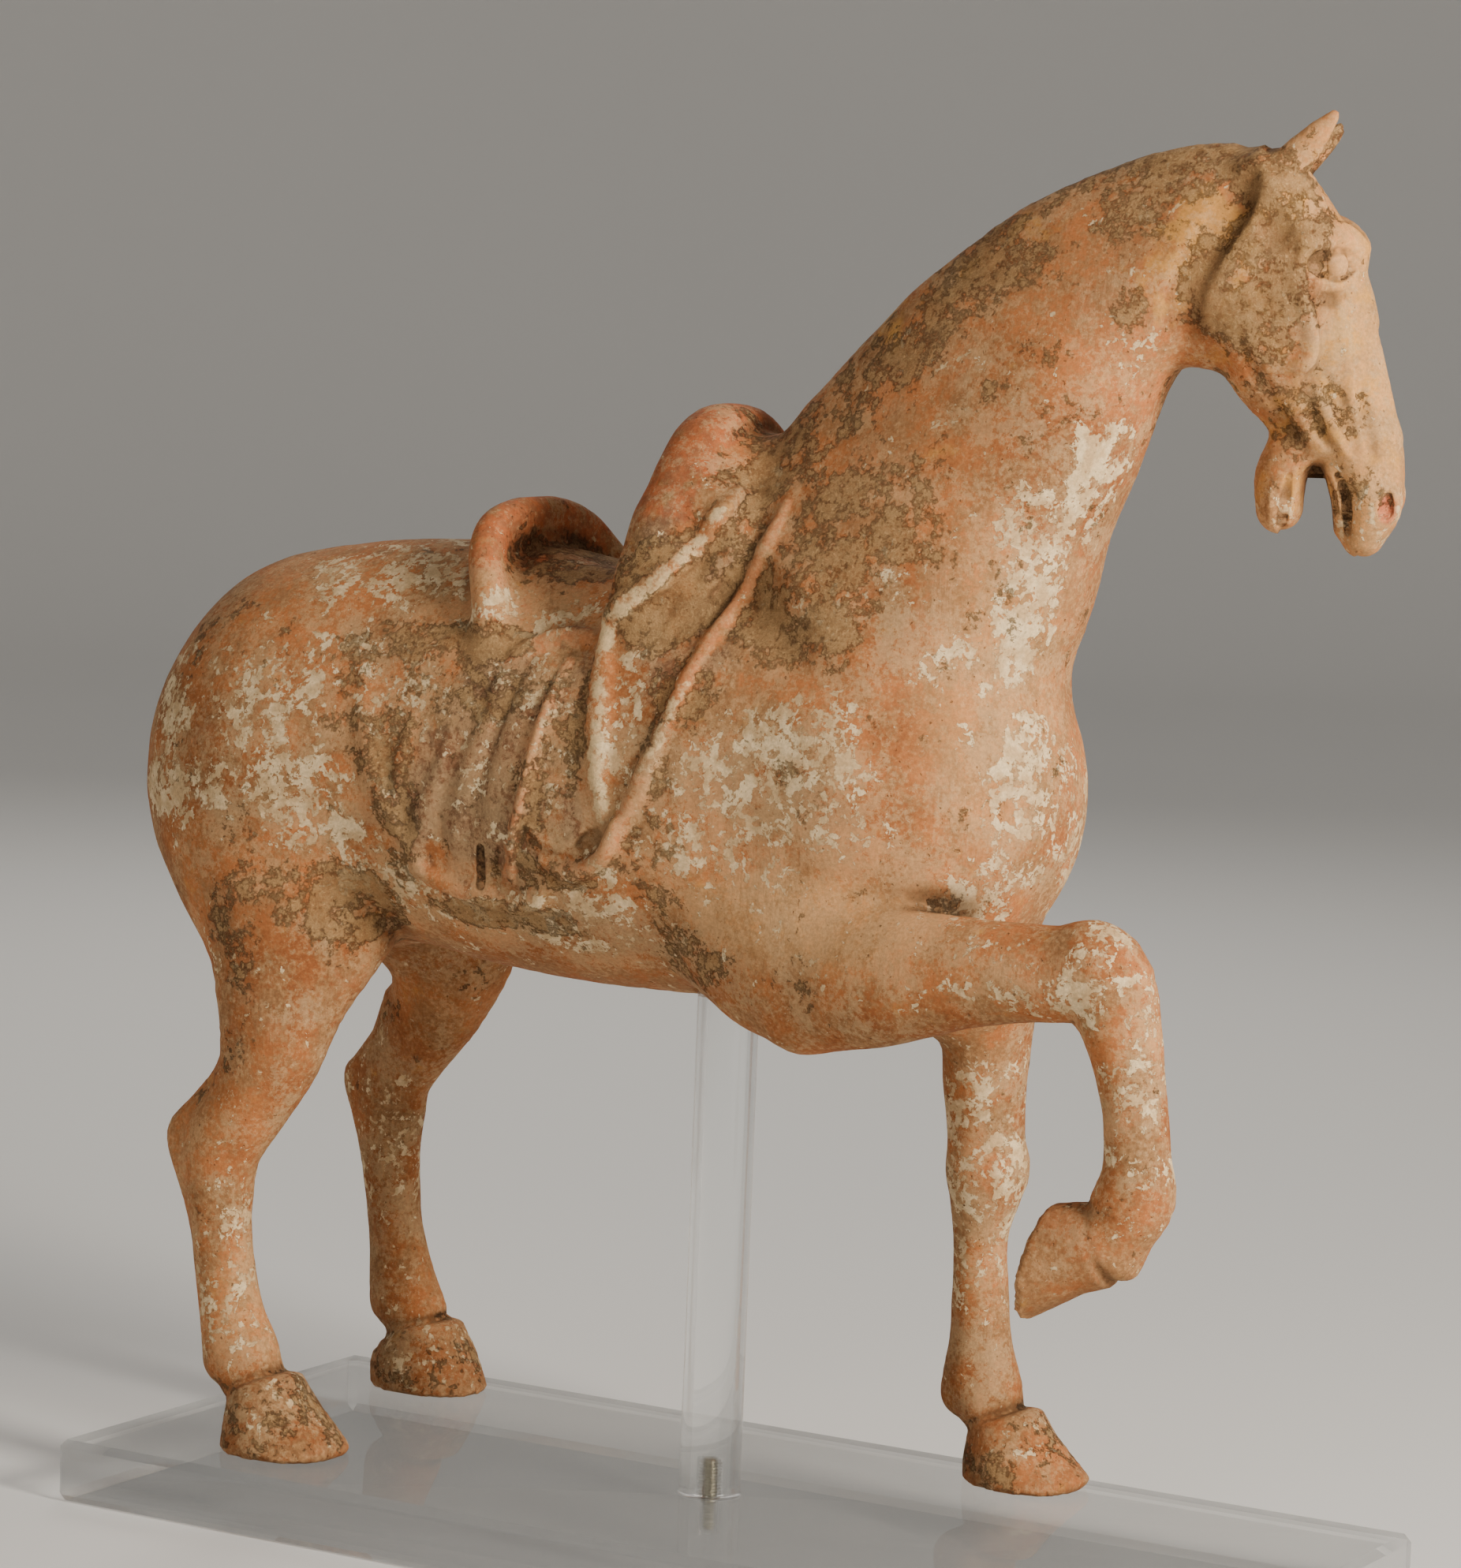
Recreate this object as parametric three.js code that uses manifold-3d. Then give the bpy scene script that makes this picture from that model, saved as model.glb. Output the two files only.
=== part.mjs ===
// A fired-clay tomb horse with one foreleg raised, standing on a clear plate and held up by a clear rod.
// Millimetres, +Z up, +X towards the horse's head, +Y to the horse's left.
// The origin is the middle of the plate's underside.
import * as THREE from 'three';
import { mergeVertices } from 'three/addons/utils/BufferGeometryUtils.js';
import { edgeTable, triTable } from 'three/addons/objects/MarchingCubes.js';
import { ConvexGeometry } from 'three/addons/geometries/ConvexGeometry.js';
import Module from 'manifold-3d';

// Driving dimensions
const horseHeight = 541;
const horseForward = 0;
const horseLeft = 4;
const plateLength = 500;
const plateWidth = 210;
const plateThickness = 25;
const plateChamfer = 3;
const rodDiameter = 25.4;
const rodForward = 2.5;
const rodLeft = -15.5;
const rodSeatDepth = 12;
const rodEdge = 0.6;
const rodSides = 40;
const studDiameter = 6.35;
const studPitch = 1.27;
const studInRod = 15;
const studInPlate = 14;
const studTipLength = 4;
const clearance = 0.3;

// Carving quality of the faceted horse
const gridStep = 2.6;
const horseTriangles = 7900;

// The figure is carved in its own units, one 541st of its height, with its soles at z = 0
// and its spine over y = 0. One unit is a millimetre at the size of this horse.
const unitsTall = 541;
const unit = horseHeight / unitsTall;

const lerp = (a, b, t) => a + (b - a) * t;
const clamp = (v, low, high) => Math.min(high, Math.max(low, v));

// Smooth curve through rows of numbers, with a few steps between one row and the next.
function smoothRows(rows, steps) {
  const last = rows.length - 1;
  const row = (i) => rows[clamp(i, 0, last)];
  const out = [];
  for (let i = 0; i < last; i++) {
    for (let k = 0; k < steps; k++) {
      const t = k / steps;
      out.push(rows[i].map((_, c) => {
        const [p0, p1, p2, p3] = [row(i - 1)[c], row(i)[c], row(i + 1)[c], row(i + 2)[c]];
        const slope = p2 - p0;
        const bend = 2 * p0 - 5 * p1 + 4 * p2 - p3;
        const twist = 3 * p1 - p0 - 3 * p2 + p3;
        return p1 + 0.5 * t * (slope + t * (bend + t * twist));
      }));
    }
  }
  out.push(rows[last].slice());
  return out;
}

// Distance from an ellipsoid round the origin with half sizes a, b and c, good near its surface
function eggDistance(x, y, z, a, b, c) {
  const [qx, qy, qz] = [x / a, y / b, z / c];
  const k0 = Math.sqrt(qx * qx + qy * qy + qz * qz);
  const [gx, gy, gz] = [qx / a, qy / b, qz / c];
  const k1 = Math.sqrt(gx * gx + gy * gy + gz * gz);
  return k1 > 1e-9 ? k0 * (k0 - 1) / k1 : -Math.min(a, b, c);
}

// A body swept through stations [x, y, z, front, back, side, taper]. Front, back and side are the
// half sizes of its egg-shaped section, and taper narrows its front and widens its back.
function sweep(rows, { across = [0, 1, 0], steps = 4, cap = 1 } = {}) {
  const stations = rows.map((r) => (r.length < 7 ? [...r, 0] : r));
  const dense = smoothRows(stations, steps);
  const centre = dense.map((r) => new THREE.Vector3(r[0], r[1], r[2]));
  const frames = centre.map((c, i) => {
    const [before, after] = [centre[Math.max(i - 1, 0)], centre[Math.min(i + 1, centre.length - 1)]];
    const along = after.clone().sub(before).normalize();
    const side = new THREE.Vector3(...across);
    side.addScaledVector(along, -side.dot(along)).normalize();
    return { along, side, front: along.clone().cross(side) };
  });
  const links = [];
  for (let i = 0; i + 1 < centre.length; i++) {
    const span = centre[i + 1].clone().sub(centre[i]);
    const middle = centre[i].clone().addScaledVector(span, 0.5);
    const widest = Math.max(...[i, i + 1].map((j) => (
      Math.max(...dense[j].slice(3, 6)) * (1 + Math.abs(dense[j][6])))));
    const [f, g] = [frames[i], frames[i + 1]];
    const [a, b] = [dense[i], dense[i + 1]];
    links.push({
      x: centre[i].x, y: centre[i].y, z: centre[i].z, dx: span.x, dy: span.y, dz: span.z,
      length2: Math.max(span.lengthSq(), 1e-9), mx: middle.x, my: middle.y, mz: middle.z,
      reach: widest + span.length() / 2,
      ux: f.front.x, uy: f.front.y, uz: f.front.z,
      dux: g.front.x - f.front.x, duy: g.front.y - f.front.y, duz: g.front.z - f.front.z,
      vx: f.side.x, vy: f.side.y, vz: f.side.z,
      dvx: g.side.x - f.side.x, dvy: g.side.y - f.side.y, dvz: g.side.z - f.side.z,
      wx: f.along.x, wy: f.along.y, wz: f.along.z,
      front: a[3], dfront: b[3] - a[3], back: a[4], dback: b[4] - a[4], side: a[5], dside: b[5] - a[5],
      taper: a[6], dtaper: b[6] - a[6],
    });
  }
  const box = new THREE.Box3();
  links.forEach((l) => {
    box.expandByPoint(new THREE.Vector3(l.mx + l.reach, l.my + l.reach, l.mz + l.reach));
    box.expandByPoint(new THREE.Vector3(l.mx - l.reach, l.my - l.reach, l.mz - l.reach));
  });
  const distance = (x, y, z) => {
    let best = 1e9;
    for (let i = 0; i < links.length; i++) {
      const l = links[i];
      const [ox, oy, oz] = [x - l.mx, y - l.my, z - l.mz];
      const limit = best + l.reach;
      if (limit < 0 || ox * ox + oy * oy + oz * oz > limit * limit) continue;
      let px = x - l.x;
      let py = y - l.y;
      let pz = z - l.z;
      const t = clamp((px * l.dx + py * l.dy + pz * l.dz) / l.length2, 0, 1);
      px -= l.dx * t;
      py -= l.dy * t;
      pz -= l.dz * t;
      const u = px * (l.ux + l.dux * t) + py * (l.uy + l.duy * t) + pz * (l.uz + l.duz * t);
      const v = px * (l.vx + l.dvx * t) + py * (l.vy + l.dvy * t) + pz * (l.vz + l.dvz * t);
      const w = px * l.wx + py * l.wy + pz * l.wz;
      const half = u > 0 ? l.front + l.dfront * t : l.back + l.dback * t;
      const side = l.side + l.dside * t;
      const deep = (half < side ? half : side) * cap;
      const wide = side * (1 - (l.taper + l.dtaper * t) * clamp(u / half, -1, 1));
      const d = eggDistance(u, v, w, half, wide, deep);
      if (d < best) best = d;
    }
    return best;
  };
  return { box, distance };
}

// A muscle or hollow: an ellipsoid, turned by degrees about x, y and z.
function egg(centre, radii, turn = [0, 0, 0]) {
  const angles = new THREE.Euler(...turn.map(THREE.MathUtils.degToRad));
  const e = new THREE.Matrix4().makeRotationFromEuler(angles).elements;
  const [cx, cy, cz] = centre;
  const [rx, ry, rz] = radii;
  const reach = Math.max(...radii);
  const box = new THREE.Box3(
    new THREE.Vector3(cx - reach, cy - reach, cz - reach),
    new THREE.Vector3(cx + reach, cy + reach, cz + reach));
  const distance = (x, y, z) => {
    const px = x - cx;
    const py = y - cy;
    const pz = z - cz;
    const u = px * e[0] + py * e[1] + pz * e[2];
    const v = px * e[4] + py * e[5] + pz * e[6];
    const w = px * e[8] + py * e[9] + pz * e[10];
    return eggDistance(u, v, w, rx, ry, rz);
  };
  return { box, distance };
}

// The part of a shape behind a plane, for a flat sole.
function clipped(shape, point, normal) {
  const n = new THREE.Vector3(...normal).normalize();
  const distance = (x, y, z) => Math.max(
    shape.distance(x, y, z), (x - point[0]) * n.x + (y - point[1]) * n.y + (z - point[2]) * n.z);
  return { box: shape.box, distance };
}

// Clay: shapes joined or cut one after another, each with its own blend width.
class Clay {
  constructor() {
    this.lumps = [];
  }
  join(shape, blend = 4) {
    this.lumps.push({ shape, blend, sign: 1 });
  }
  cut(shape, blend = 2) {
    this.lumps.push({ shape, blend, sign: -1 });
  }
  distance(x, y, z) {
    let d = 1e3;
    for (const { shape, blend, sign } of this.lumps) {
      const { min, max } = shape.box;
      const gx = Math.max(min.x - x, 0, x - max.x);
      const gy = Math.max(min.y - y, 0, y - max.y);
      const gz = Math.max(min.z - z, 0, z - max.z);
      const gap = Math.sqrt(gx * gx + gy * gy + gz * gz);
      if (sign > 0 ? gap > d + blend : gap > blend - d) continue;
      const s = shape.distance(x, y, z);
      const a = sign > 0 ? d : -d;
      const h = Math.max(blend - Math.abs(a - s), 0) / blend;
      d = sign * (Math.min(a, s) - h * h * blend / 4);
    }
    return d;
  }
}

const clay = new Clay();

// Trunk: rump, barrel, chest
function addTrunk() {
  clay.join(sweep([
    [-196, 0, 266, 91, 66, 69, 0.02],
    [-150, 0, 274, 91.5, 71, 69, 0.05],
    [-100, 0, 278, 88.5, 82, 70, 0.08],
    [-50, 0, 279, 84, 85, 71, 0.1],
    [0, 0, 288, 84, 93, 70, 0.1],
    [50, 0, 292, 82, 84, 66, 0.05],
  ], { steps: 5 }), 10);
  clay.join(egg([-192, 0, 275], [88.5, 70, 79], [0, -20, 0]), 14);
  clay.join(egg([70, 0, 282], [66.5, 64, 75]), 20);
  for (const side of [-1, 1]) clay.join(egg([-211, side * 24, 250], [53, 36, 48], [0, -10, 0]), 12);
}

function addNeck() {
  clay.join(sweep([
    [52, 0, 352, 80, 76, 54, 0.3],
    [74, 0, 379, 75.5, 69.5, 46, 0.32],
    [93, 0, 408, 69.5, 58, 38, 0.35],
    [113, 1, 438, 62, 50.5, 32, 0.36],
    [134, 3, 465, 51, 40.5, 28, 0.36],
    [157, 5, 483, 42, 35, 25, 0.34],
    [178, 7, 491, 39.5, 37, 23, 0.3],
    [192, 9, 494, 37.5, 37, 21, 0.2],
  ], { steps: 9, cap: 0.5 }), 14);
}

// Legs: the sole of each standing hoof is cut flat at z = 0
const groundNormal = [0, 0, -1];

function addStandingHoof(coronet, wall, sole) {
  const below = sole.map((v, i) => v + (v - wall[i]) * 0.4);
  const hoof = sweep([coronet, wall, sole, below], { steps: 3, cap: 0.3 });
  clay.join(clipped(hoof, [0, 0, 0], groundNormal), 2);
}

function addHindLegs() {
  clay.join(egg([-197, -40, 236], [46, 31, 62], [0, -14, 0]), 14);
  clay.join(sweep([
    [-176, -43, 210, 32.5, 47, 29, 0.3],
    [-183, -50, 182, 25, 34.5, 22, 0.2],
    [-187, -54, 158, 20, 24.5, 17, 0.1],
    [-197, -57, 136, 17, 18, 14.5],
    [-207, -59, 120, 17, 18, 13],
    [-208, -60, 104, 15, 15, 12],
    [-205, -62, 85, 12.5, 12.5, 11],
    [-202, -63, 66, 13, 12, 11],
    [-198, -64, 50, 14.5, 12, 12],
    [-193, -64.7, 37, 17, 13, 13.5],
    [-186, -65.5, 27, 14, 12, 14],
  ], { cap: 0.7 }), 10);
  clay.join(sweep([
    [-203, -52, 160, 6, 5, 6],
    [-210, -54, 147, 6, 5.5, 6],
    [-220, -56.5, 133, 7, 6, 6.5],
    [-229, -58, 121, 7, 6.5, 6.5],
    [-224.5, -59, 106, 6, 5.5, 6],
    [-216.5, -60, 88, 5, 5, 5],
    [-209.5, -62, 66, 5, 4.5, 5],
    [-204.5, -64, 40, 6, 5.5, 6],
  ]), 5);
  clay.join(egg([-199.5, -65, 32], [9, 8.5, 9]), 5);
  addStandingHoof(
    [-178, -66.3, 25, 15, 15.5, 17],
    [-174, -66.4, 13, 19.5, 21, 21],
    [-170.5, -66.5, 1, 26, 25.5, 24]);

  clay.join(egg([-188, 40, 240], [46, 31, 58], [0, -14, 0]), 14);
  clay.join(sweep([
    [-168, 42, 222, 40, 36, 28],
    [-172, 49, 190, 28.5, 27, 21],
    [-180, 54, 167, 20, 23, 17],
    [-193, 58, 149, 16.5, 17, 14.5],
    [-204, 60, 133, 15.5, 17, 13],
    [-207, 61, 119, 15.5, 16, 12],
    [-207, 63, 103, 12.5, 13.5, 11],
    [-206, 65, 75, 11, 11.5, 10.5],
    [-204, 66, 58, 12.5, 12, 11],
    [-202, 67, 40, 16.5, 14, 13],
    [-196, 67.4, 29, 15, 12.5, 14],
  ], { cap: 0.7 }), 10);
  clay.join(sweep([
    [-202, 55, 168, 6, 5, 6],
    [-209, 58, 151, 6, 5.5, 6],
    [-220, 60.5, 137, 7, 6, 6.5],
    [-225, 62, 130, 7, 6.5, 6.5],
    [-222, 63, 116, 6, 5.5, 6],
    [-217, 64, 96, 5, 5, 5],
    [-213, 66, 70, 5, 4.5, 5],
    [-210, 67, 44, 6, 5.5, 6],
  ]), 5);
  clay.join(egg([-207, 67, 34], [9, 8.5, 8]), 5);
  addStandingHoof(
    [-189.5, 67.5, 25, 15.5, 14.5, 17],
    [-188.5, 67.5, 13, 21, 25, 20.5],
    [-188.5, 67.5, 1, 27.5, 25.5, 21.5]);
}

function addForelegs() {
  clay.join(egg([62, 40, 238], [42, 30, 54], [0, 10, 0]), 18);
  clay.join(sweep([
    [72, 50, 205, 30, 24, 24],
    [75, 58, 185, 20, 17.5, 19],
    [74, 62, 162, 17, 16.5, 16],
    [74, 65, 140, 16, 15.5, 15],
    [74.5, 67, 126, 17.5, 16.5, 16],
    [73, 68, 113, 14, 13.5, 13.5],
    [71.5, 70, 98, 11, 11, 10.8],
    [71, 72, 75, 11.5, 11, 10.8],
    [71, 74, 55, 13, 12.5, 12],
    [71.5, 75.3, 40, 16, 15.5, 14],
    [76, 76, 29, 13.5, 13, 14],
  ], { cap: 0.7 }), 12);
  clay.join(egg([64, 76, 32], [9, 8.5, 8.5]), 5);
  addStandingHoof(
    [84, 76, 24, 14.5, 16.5, 16.5],
    [87.5, 76, 12, 19, 21.5, 20],
    [91, 76, 1, 25.5, 24, 22]);

  // The raised right foreleg
  clay.join(egg([42, -36, 222], [44, 28, 37], [0, -6, 0]), 18);
  clay.join(sweep([
    [48, -40, 216, 30, 34, 24],
    [85, -52, 218, 26, 28, 20],
    [125, -57, 223, 20, 21, 17],
    [158, -58, 226, 17.5, 18, 16.5],
    [181, -58, 226, 18, 18, 16],
    [189, -58, 207, 15.7, 13.5, 13.5],
    [194, -58, 184, 14, 10.5, 11.5],
    [197, -58, 163, 13.7, 11, 11.5],
    [198, -58, 148, 15, 15.5, 13.5],
    [192, -58, 138, 15, 12.5, 13],
    [186, -58, 131, 18, 12.5, 14],
  ], { cap: 0.7 }), 8);
  clay.join(egg([180, -58, 233], [15.5, 14, 12.5], [0, 30, 0]), 6);
  addRaisedHoof();
}

// The raised hoof hangs from the folded pastern with its sole turned back
const raisedSole = [161, -58, 120];
const raisedSoleNormal = [-0.97, 0, 0.2];
function addRaisedHoof() {
  const hoof = sweep([
    [184, -58, 130, 17.5, 14.5, 15.5],
    [173, -58, 126, 17.5, 17, 18],
    [161, -58, 120, 18, 20, 20.5],
    [149, -58, 114, 19, 22.5, 23],
  ], { steps: 3, cap: 0.25 });
  clay.join(clipped(hoof, raisedSole, raisedSoleNormal), 2);
}

addTrunk();
addNeck();
addHindLegs();
addForelegs();

// How far the surface of the clay lies from a point inside it, going outwards
function reachFrom([x, y, z], [ox, oy, oz]) {
  let [inside, outside] = [0, 110];
  for (let i = 0; i < 22; i++) {
    const middle = (inside + outside) / 2;
    if (clay.distance(x + ox * middle, y + oy * middle, z + oz * middle) < 0) inside = middle;
    else outside = middle;
  }
  return inside;
}

// A ridge laid along the surface through places seen from one side and mostly sunk in,
// or with a negative height a groove pressed into it. A place's third number, if it has one,
// is the share of the ridge's width and height there.
function ridge(view, places, half, height, blend = 2) {
  const depth = Math.max(2, Math.abs(height));
  const rows = places.map((place) => {
    const inside = view.inside(place);
    const share = place[2] ?? 1;
    const reach = reachFrom(inside, view.out) + height * share - Math.sign(height) * depth;
    return [...inside.map((v, axis) => v + view.out[axis] * reach), half * share, half * share, depth];
  });
  const shape = sweep(rows, { across: view.out });
  if (height > 0) clay.join(shape, blend);
  else clay.cut(shape, blend);
}

const flank = (side) => ({ out: [0, side, 0], inside: ([x, z]) => [x, 0, z] });

// Saddle, moulded on: pommel and cantle arches over the back, each given from its top down to
// one low end, with the left end skewed forward
function arch(half, { inward, outward, thick, skew = 0, blend }) {
  const rows = [...half.slice(1).reverse().map(([x, y, z]) => [x, -y, z]), ...half];
  const stations = rows.map(([x, y, z]) => [x + skew * y, y, z, inward, outward, thick]);
  clay.join(sweep(stations, { across: [1, 0, 0] }), blend);
}

function addSaddle() {
  arch([
    [-17, 0, 419], [-17.5, 12, 418], [-18, 23, 412], [-19, 32, 401], [-21, 39, 387], [-24, 45, 370],
    [-27, 49, 352], [-28, 49, 330],
  ], { inward: 26, outward: 7, thick: 12, blend: 9 });
  clay.join(egg([-7, 0, 386], [21, 42, 27], [0, 12, 0]), 10);
  for (const side of [-1, 1]) {
    clay.join(egg([-15, side * 40, 366], [12, 12, 24], [0, -30, 0]), 9);
    clay.join(egg([3, side * 35, 374], [15, 10, 20], [0, -20, 0]), 9);
  }
  arch([
    [-104.5, 0, 379], [-104.5, 16, 378], [-104, 29, 373.5], [-101, 38, 365], [-95, 45, 353], [-90, 49, 341],
    [-88, 49, 325],
  ], { inward: 16, outward: 6.5, thick: 7, skew: 0.09, blend: 7 });
  clay.cut(egg([-62, 0, 394], [33, 32, 35]), 8);
  clay.cut(egg([7, -4, 426], [9, 26, 9], [0, 20, 0]), 5);
  for (const side of [-1, 1]) {
    const view = flank(side);
    // Front edges of the saddle and of the cloth under it
    ridge(view, [[8, 393, 0.5], [4, 383], [-3, 372], [-14, 360], [-25, 352], [-35, 344], [-37, 330],
      [-34, 314, 1.2], [-31, 296, 1.3], [-29, 282, 1.2], [-26, 270, 0.6]], 3, 2.6, 3);
    ridge(view, [[29, 390, 0.4], [26, 379], [20, 364], [12, 346], [5, 330], [1, 314, 1.2], [-4, 299, 1.3],
      [-9, 285, 1.2], [-17, 268], [-23, 257, 0.8]], 3, 2.8, 3);
    // Stirrup leather and the bar that it hangs from
    ridge(view, [[-62, 324, 0.7], [-65, 300], [-70, 275], [-74, 256, 0.8]], 9, 1.8, 2.5);
    ridge(view, [[-53, 325, 0.4], [-56, 308], [-59, 290], [-62, 272], [-67, 255, 0.7], [-70, 240, 0.5]],
      2.4, 3.4, 2);
    ridge(view, [[-78, 326, 0.6], [-68, 331], [-56, 334], [-46, 334, 0.6]], 4.5, 1.4, 3);
    // Rear edge, fold and rolled hem of the cloth
    ridge(view, [[-146, 318, 0.4], [-140, 295], [-133, 275], [-123, 258], [-114, 243], [-110, 236, 0.5]],
      3, 1.6, 4);
    ridge(view, [[-99, 290, 0.4], [-106, 270], [-112, 254], [-116, 240, 0.5]], 3, 1.2, 4);
    ridge(view, [[-80, 316, 0.4], [-84, 296], [-90, 275], [-94, 255, 0.5]], 3.4, 1.4, 4);
    ridge(view, [[-113, 240, 0.5], [-99, 235], [-84, 232, 1.1], [-70, 230], [-60, 234, 0.9], [-52, 241, 0.4]],
      4.2, 2.6, 4);
    ridge(view, [[-20, 266, 0.6], [-24, 256], [-32, 249], [-43, 245], [-54, 249, 0.5]], 3.8, 3.8, 3);
  }
  // Seen only on the near side: the slit beside the leather and the hollow in the front fold
  const near = flank(-1);
  ridge(near, [[-83, 251], [-84, 243], [-85, 236]], 1.6, -3, 1);
  ridge(near, [[-29, 261], [-34, 258]], 3, -3, 2);
}

addSaddle();

// Head: worked out in its own frame, s forward along the face, n to its left and z up,
// then turned to the horse's left and leaned over a little
const headAt = [200, 8, 510];
const headTurn = THREE.MathUtils.degToRad(17);
const headLean = THREE.MathUtils.degToRad(5);
const headForward = new THREE.Vector3(Math.cos(headTurn), Math.sin(headTurn), 0);
const headUp = new THREE.Vector3(0, 0, 1).applyAxisAngle(headForward, headLean);
const headSide = headUp.clone().cross(headForward);
const headMatrix = new THREE.Matrix4().makeBasis(headForward, headSide, headUp).setPosition(...headAt);
const onHead = ([s, n, z, ...rest]) => {
  const place = new THREE.Vector3(s, n, z - headAt[2]).applyMatrix4(headMatrix);
  return [...place.toArray(), ...rest];
};

const cheek = (side) => ({
  out: headSide.clone().multiplyScalar(side).toArray(),
  inside: ([s, z]) => onHead([s, 0, z]),
});

function headSweep(rows, options = {}) {
  return sweep(rows.map(onHead), { across: headSide.toArray(), ...options });
}

function headEgg(centre, radii, pitch = 0, roll = 0) {
  const turn = new THREE.Matrix4().makeRotationFromEuler(
    new THREE.Euler(THREE.MathUtils.degToRad(roll), THREE.MathUtils.degToRad(pitch), 0));
  const full = new THREE.Matrix4().extractRotation(headMatrix).multiply(turn);
  const angles = new THREE.Euler().setFromRotationMatrix(full).toArray().slice(0, 3);
  return egg(onHead(centre), radii, angles.map(THREE.MathUtils.radToDeg));
}

// How far the side of the head lies from its middle
const cheekReach = (side, s, z) => reachFrom(onHead([s, 0, z]), cheek(side).out);

function addHead() {
  clay.join(headSweep([
    [2, 0, 524, 10, 14, 15, 0.1],
    [7, 0, 507, 17.5, 20, 20, 0.12],
    [9, 0, 491, 26.5, 28, 21, 0.14],
    [11, 0, 474, 30.5, 31.5, 20, 0.2],
    [15, 0, 459, 30.5, 30, 18.5, 0.2],
    [22, 0, 446, 26.5, 27, 16.5, 0.1],
    [28, 0, 433, 23.5, 22, 15, 0.05],
    [31, 0, 423, 22.5, 18.5, 14, 0],
  ], { steps: 6, cap: 0.5 }), 8);
  // Muzzle with the upper lip
  clay.join(headSweep([
    [40, 0, 418, 15.5, 12, 13.5],
    [44, 0, 408, 12.3, 10.5, 13.5],
    [45.2, 0, 398, 10, 10, 13],
    [42, 0, 388, 7.5, 8.5, 9.5],
  ]), 6);
  // Palate behind the lip
  clay.join(headSweep([
    [30, 0, 414, 6, 4.5, 9],
    [33.5, 0, 402, 5, 4.5, 8.5],
    [35, 0, 391, 4, 4.5, 6],
  ]), 3);
  // Lower jaw
  clay.join(headSweep([
    [16, 0, 421, 8, 10, 12],
    [12, 0, 409, 8, 11.3, 11.5],
    [11, 0, 397, 8, 9.5, 10.5],
  ]), 5);
  // Throat, where the jowls meet the neck
  clay.join(headEgg([-20, 0, 456], [10, 8, 7]), 10);
  addEar(-1, [26.3, 542.7]);
  addEar(1, [26, 536.7]);
  for (const side of [-1, 1]) addFaceSide(side);
}

function addEar(side, [tipForward, tipUp]) {
  const base = [9, 523];
  const at = (t) => [lerp(base[0], tipForward, t), side * (10 + 3.5 * t), lerp(base[1], tipUp, t)];
  clay.join(headSweep([
    [...at(0), 6.8, 7.6, 5],
    [...at(0.35), 5.8, 6.4, 4.2],
    [...at(0.7), 4.2, 4.4, 3.2],
    [...at(1), 2, 2, 1.8],
  ], { steps: 5 }), 3);
}

function addFaceSide(side) {
  const view = cheek(side);
  // Jowl, with the groove behind it
  clay.join(headEgg([2, side * 13, 476], [21, 10.5, 27], -14), 3);
  ridge(view, [[-3, 519, 0.4], [-6.5, 512], [-11, 504], [-16.5, 495], [-21, 487], [-24, 478], [-25, 469],
    [-24, 461, 0.6]], 5, -3.4, 6);
  // Facial crest
  ridge(view, [[13, 495, 0.4], [15, 487], [17, 480], [19.5, 472], [22, 464], [22.5, 457, 0.7],
    [19, 452, 0.3]], 5.5, 2, 7);
  // Temple hollow, brow and eye; the left brow stands out less
  const browHeight = side < 0 ? 2.3 : 1;
  ridge(view, [[4, 511, 0.5], [6.5, 506], [9, 501.5], [12, 498], [15.5, 494.5, 0.6]], 4.5, -2.4, 5);
  ridge(view, [[14, 494, 0.4], [19, 498.5], [25, 500], [31, 498.5], [35, 494], [36.5, 489, 0.4]], 5,
    browHeight, 5);
  addEye(side, view);
  // Folds beside the nose and over the mouth, and the hollow behind the lips
  ridge(view, [[19.5, 442, 0.3], [23.4, 432.5], [27.5, 426], [31, 421, 0.4]], 2.2, -1.5, 3);
  ridge(view, [[25, 443, 0.3], [28.5, 434], [32, 427], [35, 421, 0.4]], 2.4, 1, 3);
  ridge(view, [[28, 447, 0.3], [31.5, 440.5], [34, 435.5], [37, 429], [39.5, 421, 0.4]], 2.2, -1.5, 3);
  ridge(view, [[39, 444, 0.3], [41.5, 436], [43.6, 427.4], [45.5, 419, 0.4]], 2, -1.2, 3);
  ridge(view, [[9, 431, 0.3], [12, 426], [15, 422], [18.5, 418.5, 0.4]], 4, -1.8, 5);
  // Nostril in its raised rim
  const nostril = [50.3, 401.5];
  const rim = cheekReach(side, ...nostril);
  clay.join(headEgg([nostril[0], side * (rim - 3), nostril[1]], [5.4, 4.4, 8], 12), 3);
  clay.cut(headEgg([nostril[0] + 0.5, side * (rim + 1.5), nostril[1]], [2.9, 5, 5.8], 12), 1.2);
  // Groove in the lower jaw between lip and tongue
  ridge(view, [[14.5, 409, 0.5], [13.4, 403], [12.2, 397], [11.4, 391, 0.8]], 1.7, -2, 1.5);
}

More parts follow.
